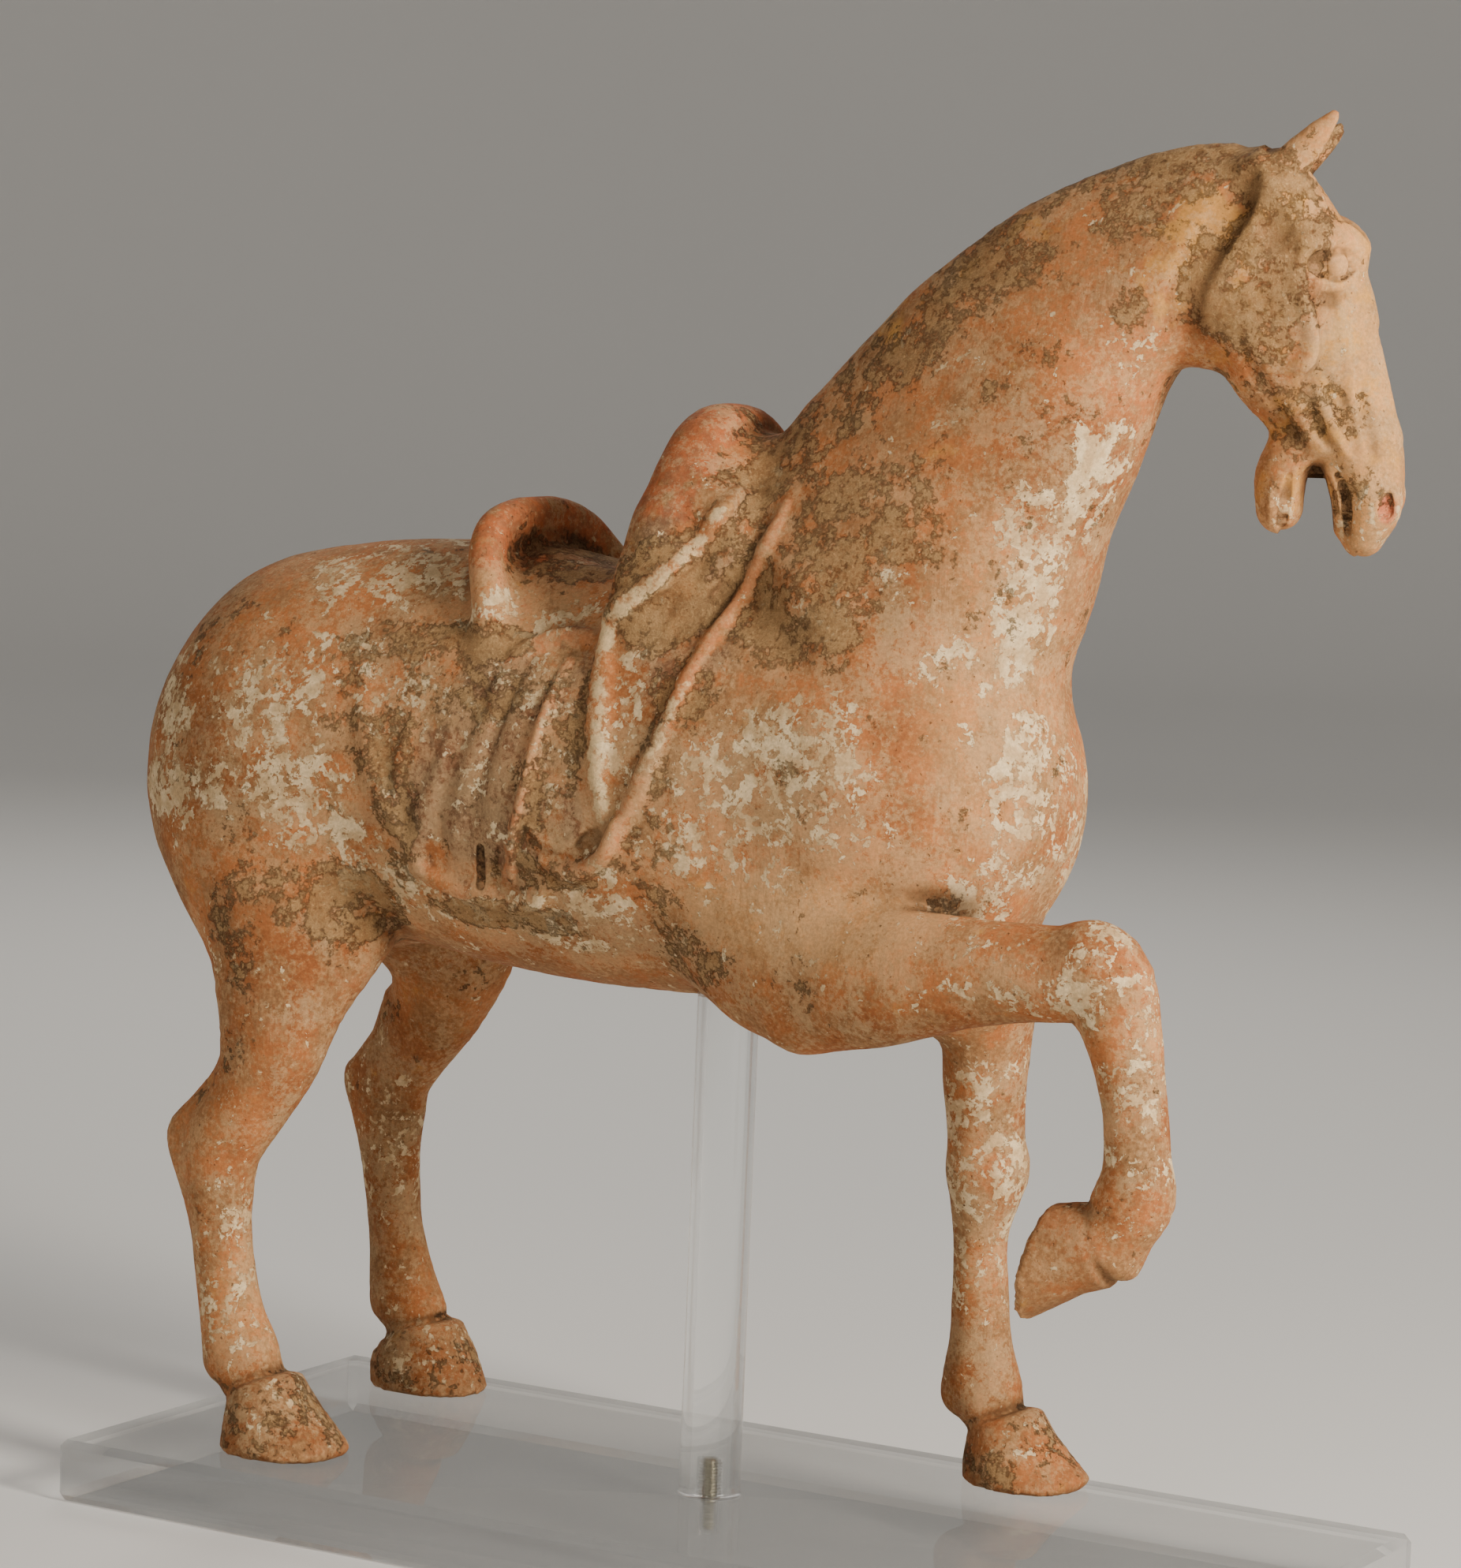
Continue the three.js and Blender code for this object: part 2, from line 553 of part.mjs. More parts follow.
// The eyeball bulges between the brow and the lower lid, before a deep corner
function addEye(side, view) {
  const reach = (s, z) => side * cheekReach(side, s, z);
  clay.cut(headEgg([22.5, reach(22.5, 489) + side, 489], [4.6, 4.2, 4.6]), 2.5);
  clay.cut(headEgg([28.5, reach(28.5, 488.5) + side * 1.5, 488.5], [7, 3, 5.4]), 2.5);
  clay.join(headEgg([28.8, reach(28.8, 488.5) - side * 2.2, 488.6], [5.6, 5, 4.5]), 1.5);
  ridge(view, [[17.5, 487.5, 0.4], [20.5, 484], [25, 482], [30, 482.8], [34, 486.3, 0.4]], 2.4, 1.3, 3);
}

addHead();

// Turning the clay into a mesh: marching cubes on a grid, skipping blocks far from the surface
function carve(field, box, step) {
  const size = box.getSize(new THREE.Vector3()).divideScalar(step).ceil().addScalar(1);
  const [nx, ny, nz] = [size.x, size.y, size.z];
  const values = new Float32Array(nx * ny * nz);
  const block = 4;
  const nearness = 1.3 * Math.sqrt(3) * block * step / 2;
  const place = (i, axis) => box.min[axis] + i * step;
  for (let k0 = 0; k0 < nz; k0 += block) {
    for (let j0 = 0; j0 < ny; j0 += block) {
      for (let i0 = 0; i0 < nx; i0 += block) {
        const half = (block - 1) / 2;
        const middle = field(place(i0 + half, 'x'), place(j0 + half, 'y'), place(k0 + half, 'z'));
        for (let k = k0; k < Math.min(k0 + block, nz); k++) {
          for (let j = j0; j < Math.min(j0 + block, ny); j++) {
            for (let i = i0; i < Math.min(i0 + block, nx); i++) {
              values[(k * ny + j) * nx + i] = Math.abs(middle) > nearness
                ? middle : field(place(i, 'x'), place(j, 'y'), place(k, 'z'));
            }
          }
        }
      }
    }
  }
  // Each edge of a grid cell: its first corner, the axis it runs along, and its second corner
  const corners = [[0, 0, 0], [1, 0, 0], [1, 1, 0], [0, 1, 0], [0, 0, 1], [1, 0, 1], [1, 1, 1], [0, 1, 1]];
  const edges = [[0, 0, 1], [1, 1, 2], [3, 0, 2], [0, 1, 3], [4, 0, 5], [5, 1, 6], [7, 0, 6], [4, 1, 7],
    [0, 2, 4], [1, 2, 5], [2, 2, 6], [3, 2, 7]];
  const offset = corners.map(([x, y, z]) => (z * ny + y) * nx + x);
  const positions = [];
  const triangles = [];
  const known = new Map();
  // Corners keep off the grid points, so that no face is thinner than this share of a cell
  const nudge = 0.04;
  const vertexOn = (edge, i, j, k, base) => {
    const [first, axis, second] = edges[edge];
    const start = base + offset[first];
    const key = start * 3 + axis;
    let index = known.get(key);
    if (index === undefined) {
      const t = clamp(values[start] / (values[start] - values[base + offset[second]]), nudge, 1 - nudge);
      const cell = [i + corners[first][0], j + corners[first][1], k + corners[first][2]];
      cell[axis] += t;
      index = positions.length / 3;
      positions.push(box.min.x + cell[0] * step, box.min.y + cell[1] * step, box.min.z + cell[2] * step);
      known.set(key, index);
    }
    return index;
  };
  for (let k = 0; k + 1 < nz; k++) {
    for (let j = 0; j + 1 < ny; j++) {
      for (let i = 0; i + 1 < nx; i++) {
        const base = (k * ny + j) * nx + i;
        let inside = 0;
        for (let c = 0; c < 8; c++) if (values[base + offset[c]] < 0) inside |= 1 << c;
        if (edgeTable[inside] === 0) continue;
        for (let t = inside * 16; triTable[t] !== -1; t += 3) {
          for (const step3 of [0, 2, 1]) triangles.push(vertexOn(triTable[t + step3], i, j, k, base));
        }
      }
    }
  }
  return { positions: Float64Array.from(positions), triangles: Int32Array.from(triangles) };
}

// Edges waiting to be closed, cheapest first, as a binary heap
class Queue {
  constructor() {
    this.items = [];
  }
  push(item) {
    const { items } = this;
    let i = items.length;
    while (i > 0) {
      const up = (i - 1) >> 1;
      if (items[up].cost <= item.cost) break;
      items[i] = items[up];
      i = up;
    }
    items[i] = item;
  }
  pop() {
    const { items } = this;
    const top = items[0];
    const last = items.pop();
    if (items.length === 0) return top;
    let i = 0;
    for (;;) {
      let next = 2 * i + 1;
      if (next >= items.length) break;
      if (next + 1 < items.length && items[next + 1].cost < items[next].cost) next += 1;
      if (items[next].cost >= last.cost) break;
      items[i] = items[next];
      i = next;
    }
    items[i] = last;
    return top;
  }
}

// Fewer triangles by closing the edge that changes the surface least, again and again. What a
// move costs is its squared distance from the planes of the faces merged so far, kept for each
// corner as the ten numbers of a symmetric 4 x 4 matrix.
function simplify({ positions, triangles }, wanted, weightAt) {
  const count = positions.length / 3;
  const faces = triangles.slice();
  const around = Array.from({ length: count }, () => []);
  faces.forEach((v, i) => around[v].push(Math.floor(i / 3)));
  const matrices = new Float64Array(count * 10);
  const spot = new Float64Array(3);
  const corner = new Float64Array(9);
  const area = new Float64Array(3);

  // The area vector of a face, with the corner `moved` taken at spot
  function measure(face, moved) {
    for (let k = 0; k < 9; k++) {
      const v = faces[face * 3 + Math.floor(k / 3)];
      corner[k] = v === moved ? spot[k % 3] : positions[v * 3 + k % 3];
    }
    const [ux, uy, uz] = [corner[3] - corner[0], corner[4] - corner[1], corner[5] - corner[2]];
    const [vx, vy, vz] = [corner[6] - corner[0], corner[7] - corner[1], corner[8] - corner[2]];
    area[0] = uy * vz - uz * vy;
    area[1] = uz * vx - ux * vz;
    area[2] = ux * vy - uy * vx;
    return Math.sqrt(area[0] * area[0] + area[1] * area[1] + area[2] * area[2]);
  }

  for (let face = 0; face < faces.length / 3; face++) {
    const size = measure(face, -1);
    if (size === 0) continue;
    const [x, y, z] = [area[0] / size, area[1] / size, area[2] / size];
    const w = -(x * corner[0] + y * corner[1] + z * corner[2]);
    const weight = size * weightAt(corner[0], corner[1], corner[2]);
    const terms = [x * x, x * y, x * z, x * w, y * y, y * z, y * w, z * z, z * w, w * w];
    for (let k = 0; k < 30; k++) {
      const v = faces[face * 3 + Math.floor(k / 10)];
      matrices[v * 10 + k % 10] += terms[k % 10] * weight;
    }
  }

  // Puts the best place for the one corner left of edge ab in spot and gives its cost
  const q = new Float64Array(10);
  function settle(a, b) {
    for (let k = 0; k < 10; k++) q[k] = matrices[a * 10 + k] + matrices[b * 10 + k];
    const mx = (positions[3 * a] + positions[3 * b]) / 2;
    const my = (positions[3 * a + 1] + positions[3 * b + 1]) / 2;
    const mz = (positions[3 * a + 2] + positions[3 * b + 2]) / 2;
    const ex = positions[3 * a] - mx;
    const ey = positions[3 * a + 1] - my;
    const ez = positions[3 * a + 2] - mz;
    const length2 = 4 * (ex * ex + ey * ey + ez * ez);
    const trace = q[0] + q[4] + q[7];
    // A weak pull to the middle keeps the sum solvable where the surface is flat
    const pull = 1e-3 * trace + 1e-12;
    const [m00, m01, m02, m11, m12, m22] = [q[0] + pull, q[1], q[2], q[4] + pull, q[5], q[7] + pull];
    const [r0, r1, r2] = [pull * mx - q[3], pull * my - q[6], pull * mz - q[8]];
    const c00 = m11 * m22 - m12 * m12;
    const c01 = m02 * m12 - m01 * m22;
    const c02 = m01 * m12 - m02 * m11;
    const c11 = m00 * m22 - m02 * m02;
    const c12 = m01 * m02 - m00 * m12;
    const c22 = m00 * m11 - m01 * m01;
    const det = m00 * c00 + m01 * c01 + m02 * c02;
    let x = (c00 * r0 + c01 * r1 + c02 * r2) / det;
    let y = (c01 * r0 + c11 * r1 + c12 * r2) / det;
    let z = (c02 * r0 + c12 * r1 + c22 * r2) / det;
    if (!((x - mx) ** 2 + (y - my) ** 2 + (z - mz) ** 2 < length2)) [x, y, z] = [mx, my, mz];
    spot[0] = x;
    spot[1] = y;
    spot[2] = z;
    const error = q[0] * x * x + 2 * q[1] * x * y + 2 * q[2] * x * z + 2 * q[3] * x
      + q[4] * y * y + 2 * q[5] * y * z + 2 * q[6] * y + q[7] * z * z + 2 * q[8] * z + q[9];
    return error + 1e-5 * length2 * trace;
  }

  const mark = new Int32Array(count);
  let round = 0;
  function neighbours(v, list) {
    list.length = 0;
    round += 1;
    mark[v] = round;
    for (const face of around[v]) {
      for (let k = 0; k < 3; k++) {
        const other = faces[face * 3 + k];
        if (mark[other] === round) continue;
        mark[other] = round;
        list.push(other);
      }
    }
    return list;
  }

  // Whether a face round corner v, but not round its partner, would turn over or become a sliver
  function folds(v, partner) {
    for (const face of around[v]) {
      if (around[partner].includes(face)) continue;
      const before = measure(face, -1);
      const [ax, ay, az] = area;
      const after = measure(face, v);
      let longest2 = 0;
      for (let k = 0; k < 3; k++) {
        const [i, j] = [k * 3, ((k + 1) % 3) * 3];
        longest2 = Math.max(longest2, (corner[i] - corner[j]) ** 2 + (corner[i + 1] - corner[j + 1]) ** 2
          + (corner[i + 2] - corner[j + 2]) ** 2);
      }
      const agree = ax * area[0] + ay * area[1] + az * area[2];
      if (agree < 0.3 * before * after || after < 0.08 * longest2) return true;
    }
    return false;
  }

  const version = new Int32Array(count);
  const queue = new Queue();
  const consider = (a, b) => queue.push({ a, b, stamp: version[a] + version[b], cost: settle(a, b) });
  for (let i = 0; i < faces.length; i++) {
    const [a, b] = [faces[i], faces[i % 3 === 2 ? i - 2 : i + 1]];
    if (a < b) consider(a, b);
  }
  const [nearA, nearB] = [[], []];
  let left = faces.length / 3;
  while (left > wanted && queue.items.length > 0) {
    const { a, b, stamp } = queue.pop();
    if (version[a] + version[b] !== stamp || around[a].length === 0 || around[b].length === 0) continue;
    neighbours(b, nearB);
    neighbours(a, nearA);
    if (nearB.filter((v) => v !== a && mark[v] === round).length !== 2) continue;
    settle(a, b);
    if (folds(a, b) || folds(b, a)) continue;
    positions.set(spot, 3 * a);
    for (let k = 0; k < 10; k++) matrices[a * 10 + k] += matrices[b * 10 + k];
    for (const face of around[b]) {
      if (around[a].includes(face)) {
        for (let k = 0; k < 3; k++) {
          const v = faces[face * 3 + k];
          if (v !== b) around[v] = around[v].filter((other) => other !== face);
          faces[face * 3 + k] = -1;
        }
        left -= 1;
      } else {
        for (let k = 0; k < 3; k++) if (faces[face * 3 + k] === b) faces[face * 3 + k] = a;
        around[a].push(face);
      }
    }
    around[b] = [];
    version[a] += 1;
    for (const v of neighbours(a, nearA)) consider(a, v);
  }
  const kept = faces.filter((v) => v >= 0);
  const number = new Map();
  for (const v of kept) if (!number.has(v)) number.set(v, number.size);
  const out = new Float32Array(number.size * 3);
  number.forEach((n, v) => out.set(positions.subarray(3 * v, 3 * v + 3), n * 3));
  return { positions: out, triangles: Uint32Array.from(kept, (v) => number.get(v)) };
}

// The figure's place among the other pieces
const standing = plateThickness + clearance;
const intoFigure = (x, y) => [(x - horseForward) / unit, (y - horseLeft) / unit];

// The head and the saddle keep finer faces than the plain parts of the body
function modellingWeight(x, y, z) {
  if (x > 175 && z > 370) return 6;
  const onSaddle = x > -150 && x < 36 && z > 225 && z < 440 && Math.abs(y) > 25;
  return onSaddle ? 2.5 : 1;
}

function horseGeometry() {
  const box = new THREE.Box3(new THREE.Vector3(-300, -110, -6), new THREE.Vector3(285, 110, 552));
  const fine = carve((x, y, z) => clay.distance(x, y, z), box, gridStep);
  const { positions, triangles } = simplify(fine, horseTriangles, modellingWeight);
  for (let i = 2; i < positions.length; i += 3) if (positions[i] < 0.02) positions[i] = 0;
  const geometry = new THREE.BufferGeometry();
  geometry.setAttribute('position', new THREE.BufferAttribute(positions, 3));
  geometry.setIndex(new THREE.BufferAttribute(triangles, 1));
  geometry.scale(unit, unit, unit);
  geometry.translate(horseForward, horseLeft, standing);
  return geometry;
}

// Joins and cuts between closed solids
const wasm = await Module();
wasm.setup();

function solid(geometry) {
  const bare = geometry.clone();
  bare.deleteAttribute('normal');
  bare.deleteAttribute('uv');
  const merged = mergeVertices(bare);
  const vertProperties = new Float32Array(merged.attributes.position.array);
  const triVerts = new Uint32Array(merged.index.array);
  return new wasm.Manifold(new wasm.Mesh({ numProp: 3, vertProperties, triVerts }));
}

function geometryOf(body) {
  const { vertProperties, triVerts } = body.getMesh();
  const geometry = new THREE.BufferGeometry();
  geometry.setAttribute('position', new THREE.BufferAttribute(new Float32Array(vertProperties), 3));
  geometry.setIndex(new THREE.BufferAttribute(new Uint32Array(triVerts), 1));
  geometry.computeVertexNormals();
  return geometry;
}

// A round piece turned about a vertical axis, from its profile of [radius, height]
function turned(profile, sides) {
  const points = profile.map(([radius, height]) => new THREE.Vector2(radius, height));
  return new THREE.LatheGeometry(points, sides).rotateX(Math.PI / 2);
}

function upright(radius, bottom, top, sides) {
  const profile = [[0, bottom], [radius, bottom], [radius, top], [0, top]];
  return turned(profile, sides).translate(rodForward, rodLeft, 0);
}

// The rod's top is let into the belly, a seat's depth above the lowest clay round its rim
const rodRadius = rodDiameter / 2;
function bellyAt(x, y) {
  const [fx, fy] = intoFigure(x, y);
  const inside = [fx, fy, 290];
  return standing + (inside[2] - reachFrom(inside, [0, 0, -1])) * unit;
}
const rimHeights = Array.from({ length: 16 }, (_, i) => {
  const angle = i * Math.PI / 8;
  return bellyAt(rodForward + rodRadius * Math.cos(angle), rodLeft + rodRadius * Math.sin(angle));
});
const rodTop = Math.min(...rimHeights) + rodSeatDepth;

function horseOnRod() {
  const seat = upright(rodRadius + clearance, rodTop - 60, rodTop + clearance, rodSides);
  return geometryOf(solid(horseGeometry()).subtract(solid(seat)));
}

// The stud: rings of thread with a plain coned tip
const studRadius = studDiameter / 2;
const threadDepth = 0.54 * studPitch;
const holeRadius = studRadius + clearance;
const studTop = standing + studInRod;
const studBottom = plateThickness - studInPlate;

function studGeometry() {
  const core = studRadius - threadDepth;
  const profile = [[0, studBottom], [core, studBottom]];
  const threadTop = studTop - studTipLength;
  for (let z = studBottom + studPitch / 2; z + studPitch / 2 < threadTop; z += studPitch) {
    profile.push([studRadius, z], [core, z + studPitch / 2]);
  }
  profile.push([core, studTop - 1], [core - 1, studTop], [0, studTop]);
  return turned(profile, 14).translate(rodForward, rodLeft, 0);
}

function rodGeometry() {
  const holeTop = studTop + clearance;
  const drillPoint = holeRadius * 0.3;
  const profile = [
    [holeRadius, standing], [rodRadius - rodEdge, standing], [rodRadius, standing + rodEdge],
    [rodRadius, rodTop - rodEdge], [rodRadius - rodEdge, rodTop], [0, rodTop],
  ];
  profile.unshift([0, holeTop + drillPoint], [holeRadius, holeTop]);
  return turned(profile, rodSides).translate(rodForward, rodLeft, 0);
}

// The plate: a block with every edge bevelled, and a blind hole for the stud
function plateGeometry() {
  const [x, y, z] = [plateLength / 2, plateWidth / 2, plateThickness / 2];
  const c = plateChamfer;
  const points = [];
  for (const sx of [-1, 1]) {
    for (const sy of [-1, 1]) {
      for (const sz of [-1, 1]) {
        points.push(
          new THREE.Vector3(sx * x, sy * (y - c), sz * (z - c)),
          new THREE.Vector3(sx * (x - c), sy * y, sz * (z - c)),
          new THREE.Vector3(sx * (x - c), sy * (y - c), sz * z));
      }
    }
  }
  const block = new ConvexGeometry(points).translate(0, 0, z);
  const hole = upright(holeRadius, studBottom - clearance, plateThickness + 1, 24);
  return geometryOf(solid(block).subtract(solid(hole)));
}

const materials = {
  clay: new THREE.MeshStandardMaterial({ color: 0xc08358, roughness: 0.9, metalness: 0 }),
  acrylic: new THREE.MeshStandardMaterial({
    color: 0xdfe6e8, roughness: 0.08, metalness: 0, transparent: true, opacity: 0.35 }),
  steel: new THREE.MeshStandardMaterial({ color: 0xb8b4a6, roughness: 0.35, metalness: 1 }),
};

const model = new THREE.Group();
function addPiece(name, geometry, material) {
  const mesh = new THREE.Mesh(geometry, material);
  mesh.name = name;
  model.add(mesh);
}
addPiece('base_plate', plateGeometry(), materials.acrylic);
addPiece('threaded_stud', studGeometry(), materials.steel);
addPiece('support_rod', rodGeometry(), materials.acrylic);
addPiece('horse', horseOnRod(), materials.clay);

export default model;
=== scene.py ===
# A fired-clay tomb horse on a clear rod and plate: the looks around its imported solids.
# Metres in Blender. The figure itself is worked out in its own millimetres, soles at z = 0.
import math

import bmesh
import bpy
import numpy as np
from mathutils import Matrix, Vector


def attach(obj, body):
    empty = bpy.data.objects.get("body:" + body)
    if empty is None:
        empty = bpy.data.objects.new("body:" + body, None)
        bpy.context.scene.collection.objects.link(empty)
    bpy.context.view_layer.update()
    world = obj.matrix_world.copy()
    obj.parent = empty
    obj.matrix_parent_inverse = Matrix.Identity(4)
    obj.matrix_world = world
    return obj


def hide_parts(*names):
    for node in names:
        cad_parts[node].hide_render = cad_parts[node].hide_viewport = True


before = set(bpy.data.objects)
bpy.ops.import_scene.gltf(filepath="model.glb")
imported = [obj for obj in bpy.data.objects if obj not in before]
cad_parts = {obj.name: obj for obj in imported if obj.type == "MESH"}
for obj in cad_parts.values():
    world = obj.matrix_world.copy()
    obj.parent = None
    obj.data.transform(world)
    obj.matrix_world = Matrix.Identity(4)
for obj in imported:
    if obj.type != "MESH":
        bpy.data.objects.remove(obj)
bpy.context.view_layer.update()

# Sizes in millimetres, as in the part's source
HORSE_LEFT = 4.0
PLATE_THICKNESS = 25.0
ROD_RADIUS = 12.7
ROD_AT = (2.5, -15.5)
ROD_EDGE = 0.6
STUD_RADIUS = 3.175
STUD_PITCH = 1.27
STUD_IN_ROD = 15.0
STUD_IN_PLATE = 14.0
CLEARANCE = 0.3
STANDING = PLATE_THICKNESS + CLEARANCE
MM = 0.001

# How the distance field is worked out, in millimetres
BLOCK = 60               # points are measured in blocks of this size
FEW_POINTS = 1500        # fewer than these are measured in one go
LONGEST_REACH = 110.0    # no surface lies further than this from the middle of the body
SLOPE_STEP = 0.2
FAR = 1e9


# Clay as a distance field
def smooth_rows(rows, steps):
    rows = np.asarray(rows, float)
    last = len(rows) - 1
    out = []
    for i in range(last):
        p0, p1, p2, p3 = (rows[min(max(k, 0), last)] for k in (i - 1, i, i + 1, i + 2))
        for k in range(steps):
            t = k / steps
            slope = p2 - p0
            bend = 2 * p0 - 5 * p1 + 4 * p2 - p3
            twist = 3 * p1 - p0 - 3 * p2 + p3
            out.append(p1 + 0.5 * t * (slope + t * (bend + t * twist)))
    out.append(rows[last])
    return np.array(out)


def egg_distance(x, y, z, a, b, c):
    qx, qy, qz = x / a, y / b, z / c
    k0 = np.sqrt(qx * qx + qy * qy + qz * qz)
    k1 = np.sqrt((qx / a) ** 2 + (qy / b) ** 2 + (qz / c) ** 2)
    return np.where(k1 > 1e-9, k0 * (k0 - 1) / np.maximum(k1, 1e-9), -np.minimum(a, np.minimum(b, c)))


def dots(points, directions):
    """The product of each link's points with that link's direction."""
    return np.einsum("lni,li->ln", points, directions)


def unit_rows(v):
    return v / np.maximum(np.linalg.norm(v, axis=1, keepdims=True), 1e-12)


def sweep(rows, across=(0, 1, 0), steps=4, cap=1.0):
    """A body swept through stations (x, y, z, front, back, side, taper)."""
    rows = [list(r) + [0.0] * (7 - len(r)) for r in rows]
    dense = smooth_rows(rows, steps)
    centre = dense[:, :3]
    n = len(centre)
    along = unit_rows(centre[np.minimum(np.arange(n) + 1, n - 1)] - centre[np.maximum(np.arange(n) - 1, 0)])
    side = np.tile(np.asarray(across, float), (n, 1))
    side = unit_rows(side - along * (side * along).sum(1, keepdims=True))
    front = np.cross(along, side)
    span = centre[1:] - centre[:-1]
    middle = centre[:-1] + span / 2
    widest = dense[:, 3:6].max(1) * (1 + abs(dense[:, 6]))
    reach = np.maximum(widest[1:], widest[:-1]) + np.linalg.norm(span, axis=1) / 2
    length2 = np.maximum((span ** 2).sum(1), 1e-9)
    low = (middle - reach[:, None]).min(0)
    high = (middle + reach[:, None]).max(0)
    first, change = dense[:-1], np.diff(dense, axis=0)
    front_change, side_change = np.diff(front, axis=0), np.diff(side, axis=0)

    def distance(p, most=FAR):
        # Links that lie further off than `most` from all the points are left out
        heart = (p.min(0) + p.max(0)) / 2
        round_heart = np.linalg.norm(p - heart, axis=1).max()
        near = np.linalg.norm(middle - heart, axis=1) < most + round_heart + reach
        if not near.any():
            return np.full(len(p), FAR)
        q = p - centre[:-1][near][:, None]
        t = np.clip(dots(q, span[near]) / length2[near][:, None], 0, 1)
        q -= t[..., None] * span[near][:, None]
        u = dots(q, front[:-1][near]) + t * dots(q, front_change[near])
        v = dots(q, side[:-1][near]) + t * dots(q, side_change[near])
        w = dots(q, along[:-1][near])
        ahead, behind, flat, taper = (first[near, k, None] + change[near, k, None] * t for k in range(3, 7))
        half = np.where(u > 0, ahead, behind)
        wide = flat * (1 - taper * np.clip(u / half, -1, 1))
        return egg_distance(u, v, w, half, wide, np.minimum(half, flat) * cap).min(0)

    return low, high, distance


def euler_matrix(turn):
    x, y, z = (Matrix.Rotation(math.radians(a), 3, k) for a, k in zip(turn, "XYZ"))
    return np.array(x @ y @ z)


def egg(centre, radii, turn=(0, 0, 0), basis=None):
    basis = euler_matrix(turn) if basis is None else basis
    centre = np.asarray(centre, float)
    reach = max(radii)

    def distance(p, most=FAR):
        q = (p - centre) @ basis
        return egg_distance(q[:, 0], q[:, 1], q[:, 2], *radii)

    return centre - reach, centre + reach, distance


def clipped(shape, point, normal):
    normal = np.asarray(normal, float) / np.linalg.norm(normal)
    point = np.asarray(point, float)
    return shape[0], shape[1], lambda p, most=FAR: np.maximum(shape[2](p, most), (p - point) @ normal)


class Clay:
    def __init__(self):
        self.lumps = []

    def join(self, shape, blend=4.0):
        self.lumps.append((*shape, blend, 1))

    def cut(self, shape, blend=2.0):
        self.lumps.append((*shape, blend, -1))

    def distance(self, p):
        if len(p) < FEW_POINTS:
            return self.block_distance(p)
        cell = np.floor(p / BLOCK).astype(np.int64) @ np.array([1, 1000, 1000000])
        order = np.argsort(cell, kind="stable")
        starts = np.nonzero(np.diff(cell[order]))[0] + 1
        d = np.empty(len(p))
        for block in np.split(order, starts):
            d[block] = self.block_distance(p[block])
        return d

    def block_distance(self, p):
        d = np.full(len(p), 1e3)
        block_low, block_high = p.min(0), p.max(0)
        for low, high, shape, blend, sign in self.lumps:
            apart = np.linalg.norm(np.maximum(0, np.maximum(block_low - high, low - block_high)))
            if apart > (d.max() + blend if sign > 0 else blend - d.min()):
                continue
            gap = np.sqrt((np.maximum(np.maximum(low - p, p - high), 0) ** 2).sum(1))
            near = np.nonzero(gap <= (d + blend if sign > 0 else blend - d))[0]
            if not len(near):
                continue
            s = shape(p[near], (blend + sign * d[near]).max())
            a = sign * d[near]
            h = np.maximum(blend - abs(a - s), 0) / blend
            d[near] = sign * (np.minimum(a, s) - h * h * blend / 4)
        return d

    def slope(self, p, d):
        steps = SLOPE_STEP * np.eye(3)
        return np.stack([self.distance(p + step) - d for step in steps], axis=1) / SLOPE_STEP


clay = Clay()


def lump(blend, *form, **basis):
    clay.join(egg(*form, **basis), blend)


def body(blend, stations, **options):
    clay.join(sweep(stations, **options), blend)


def add_trunk():
    body(10, [
        [-196, 0, 266, 91, 66, 69, 0.02], [-150, 0, 274, 91.5, 71, 69, 0.05],
        [-100, 0, 278, 88.5, 82, 70, 0.08], [-50, 0, 279, 84, 85, 71, 0.1],
        [0, 0, 288, 84, 93, 70, 0.1], [50, 0, 292, 82, 84, 66, 0.05],
    ], steps=5)
    lump(14, [-192, 0, 275], [88.5, 70, 79], [0, -20, 0])
    lump(20, [70, 0, 282], [66.5, 64, 75])
    for side in (-1, 1):
        lump(12, [-211, side * 24, 250], [53, 36, 48], [0, -10, 0])


def add_neck():
    body(14, [
        [52, 0, 352, 80, 76, 54, 0.3], [74, 0, 379, 75.5, 69.5, 46, 0.32],
        [93, 0, 408, 69.5, 58, 38, 0.35], [113, 1, 438, 62, 50.5, 32, 0.36],
        [134, 3, 465, 51, 40.5, 28, 0.36], [157, 5, 483, 42, 35, 25, 0.34],
        [178, 7, 491, 39.5, 37, 23, 0.3], [192, 9, 494, 37.5, 37, 21, 0.2],
    ], steps=9, cap=0.5)


def add_standing_hoof(coronet, wall, sole):
    below = [b + (b - a) * 0.4 for a, b in zip(wall, sole)]
    hoof = sweep([coronet, wall, sole, below], steps=3, cap=0.3)
    clay.join(clipped(hoof, [0, 0, 0], [0, 0, -1]), 2)


